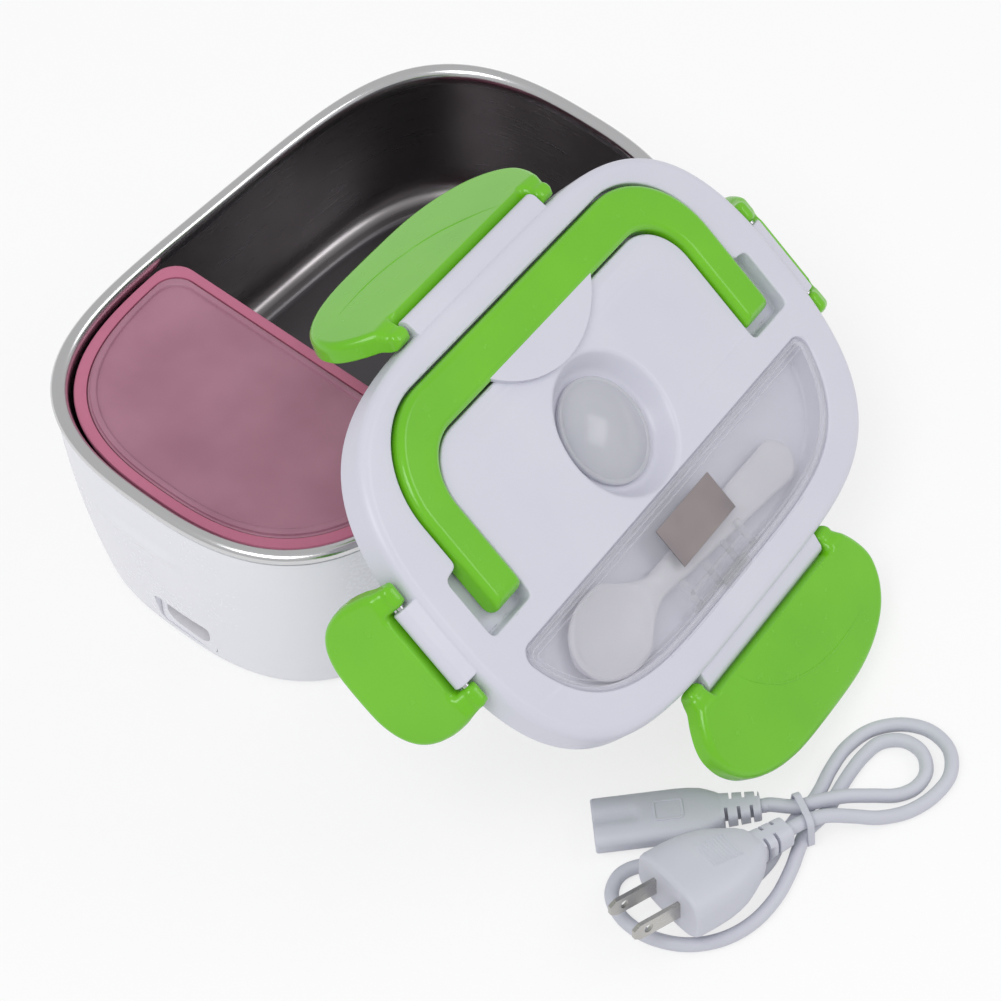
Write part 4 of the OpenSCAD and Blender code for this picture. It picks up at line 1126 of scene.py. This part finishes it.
rib = pattern_of("rib_pattern", slab(rounded_box(-0.28, 0.28, -5.5, 5.5, 0.27, 3), -1.6, 0.3, 0.22, 0.05,
    3), MOULDING)
RIBS = 9
rib_x = [-15.5 - 1.35 * k for k in range(RIBS)]


def plug_half_height(x):
    low, high = next((a, b) for a, b in zip(plug_rows, plug_rows[1:]) if a[2] <= x <= b[2])
    return (low[1] + (high[1] - low[1]) * (x - low[2]) / (high[2] - low[2])) / 2


spots = [PLUG @ Vector((x, 0, side * (plug_half_height(x) - 0.08))) for side in (1, -1) for x in rib_x]
up_turn, down_turn = PLUG.to_euler(), (PLUG @ turned(x=180)).to_euler()
plug_ribs = repeated("plug_ribs", rib, spots, [up_turn] * RIBS + [down_turn] * RIBS, MOULDING, "base")
discard([rib])

# %% Band round the bow
def band_outline(g):
    return (arc(3.9, 4.5, 2.6 + g, 0, 90, 10) + arc(-3.9, 4.5, 2.6 + g, 90, 180, 10)
        + arc(-5.1, -2.9, 2.6 + g, 180, 270, 10)
        + arc(5.1, -2.9, 2.6 + g, 270, 360, 10))


tie = hoop([lift(band_outline(g), z) for g, z in (
    (0, -1.2), (0.5, -1.2), (0.65, -1.05), (0.65, 1.05), (0.5, 1.2), (0, 1.2))])
bow_tie = piece("bow_tie", tie, CORD, "base", ["cord_tie"],
    at=Matrix.Translation((-32, -212.5, 6.3)) @ turned(90, 0, 61))

# %% [markdown]
# ## The pieces that stay as they are
# What is hidden, flat or plain keeps the solid's own mesh and only gets a material. The cord gets
# its material and is set on the base last.

# %% Paint the hidden pieces
paint(WHITE, "bottom_cover", "inlet_socket")
paint(PLATE, "heating_plate")
paint(CERAMIC, "heater_element", "thermal_fuse")
paint(BRIGHT_STEEL, "heater_clamp", "handle_pins", "latch_pins")
paint(DARK_CASE, "thermostat")
paint(BRASS, "inlet_pins", "connector_contacts")
paint(SLEEVE, "wiring")
paint(LINER, "lid_liner")
paint(SEAL, "lid_seal")
paint(FOIL, "foil_patch")
paint(BLADE_STEEL, "plug_blades")

# %% Cord onto the frame
line.materials.append(CORD)
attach(mains_cord, "base")
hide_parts("power_cord")

# %% [markdown]
# ## Stage and light
# The photograph is a cut-out on white. A pale floor with soft lamps keeps the shadows light. The
# floor shows white to the camera and to reflections, and the world lights the object at a plain level.

# %% Floor, world and lamps
floor_mesh = bpy.data.meshes.new("floor")
floor_mesh.from_pydata([(-6, -6, 0), (6, -6, 0), (6, 6, 0), (-6, 6, 0)], [], [(0, 1, 2, 3)])
floor_finish = Finish("floor", Roughness=0.9)
paper = floor_finish.noise(60, 2.0)
floor_finish.set(Base_Color=floor_finish.mix(paper, (0.96, 0.96, 0.96), (0.94, 0.94, 0.945)))
seen = [floor_finish.node("ShaderNodeLightPath", {}, {}, k)
    for k in ("Is Camera Ray", "Is Glossy Ray", "Is Transmission Ray")]
glow = floor_finish.node("ShaderNodeEmission", {}, {"Color": (1, 1, 1, 1), "Strength": 1.0})
blend = floor_finish.node("ShaderNodeMixShader", {}, {0: seen[0].top(seen[1]).top(seen[2]) * 0.72})
floor_finish.tree.links.new(floor_finish.shader.outputs[0], blend.socket.node.inputs[1])
floor_finish.tree.links.new(glow.socket, blend.socket.node.inputs[2])
floor_finish.tree.links.new(blend.socket, floor_finish.tree.nodes["Material Output"].inputs["Surface"])
floor = link("floor", floor_mesh, floor_finish.material)

world = bpy.data.worlds.new("studio")
bpy.context.scene.world = world
world.use_nodes = True
sky = world.node_tree.nodes["Background"]
sky.inputs["Color"].default_value = (1.0, 1.0, 1.0, 1)
sky.inputs["Strength"].default_value = 0.62


def lamp(name, place, aim, size, watts):
    data = bpy.data.lights.new(name, "AREA")
    data.shape, data.size, data.size_y, data.energy = "RECTANGLE", *size, watts
    obj = put(name, data)
    obj.location = place
    obj.rotation_euler = (Vector(aim) - Vector(place)).to_track_quat("-Z", "Y").to_euler()


AIM = (0, -0.08, 0.03)
lamp("key", (-0.9, -0.2, 1.5), AIM, (0.8, 0.8), 9)
lamp("fill", (0.9, -0.9, 1.1), AIM, (0.9, 0.6), 4)
bpy.context.scene.view_settings.view_transform = "Standard"
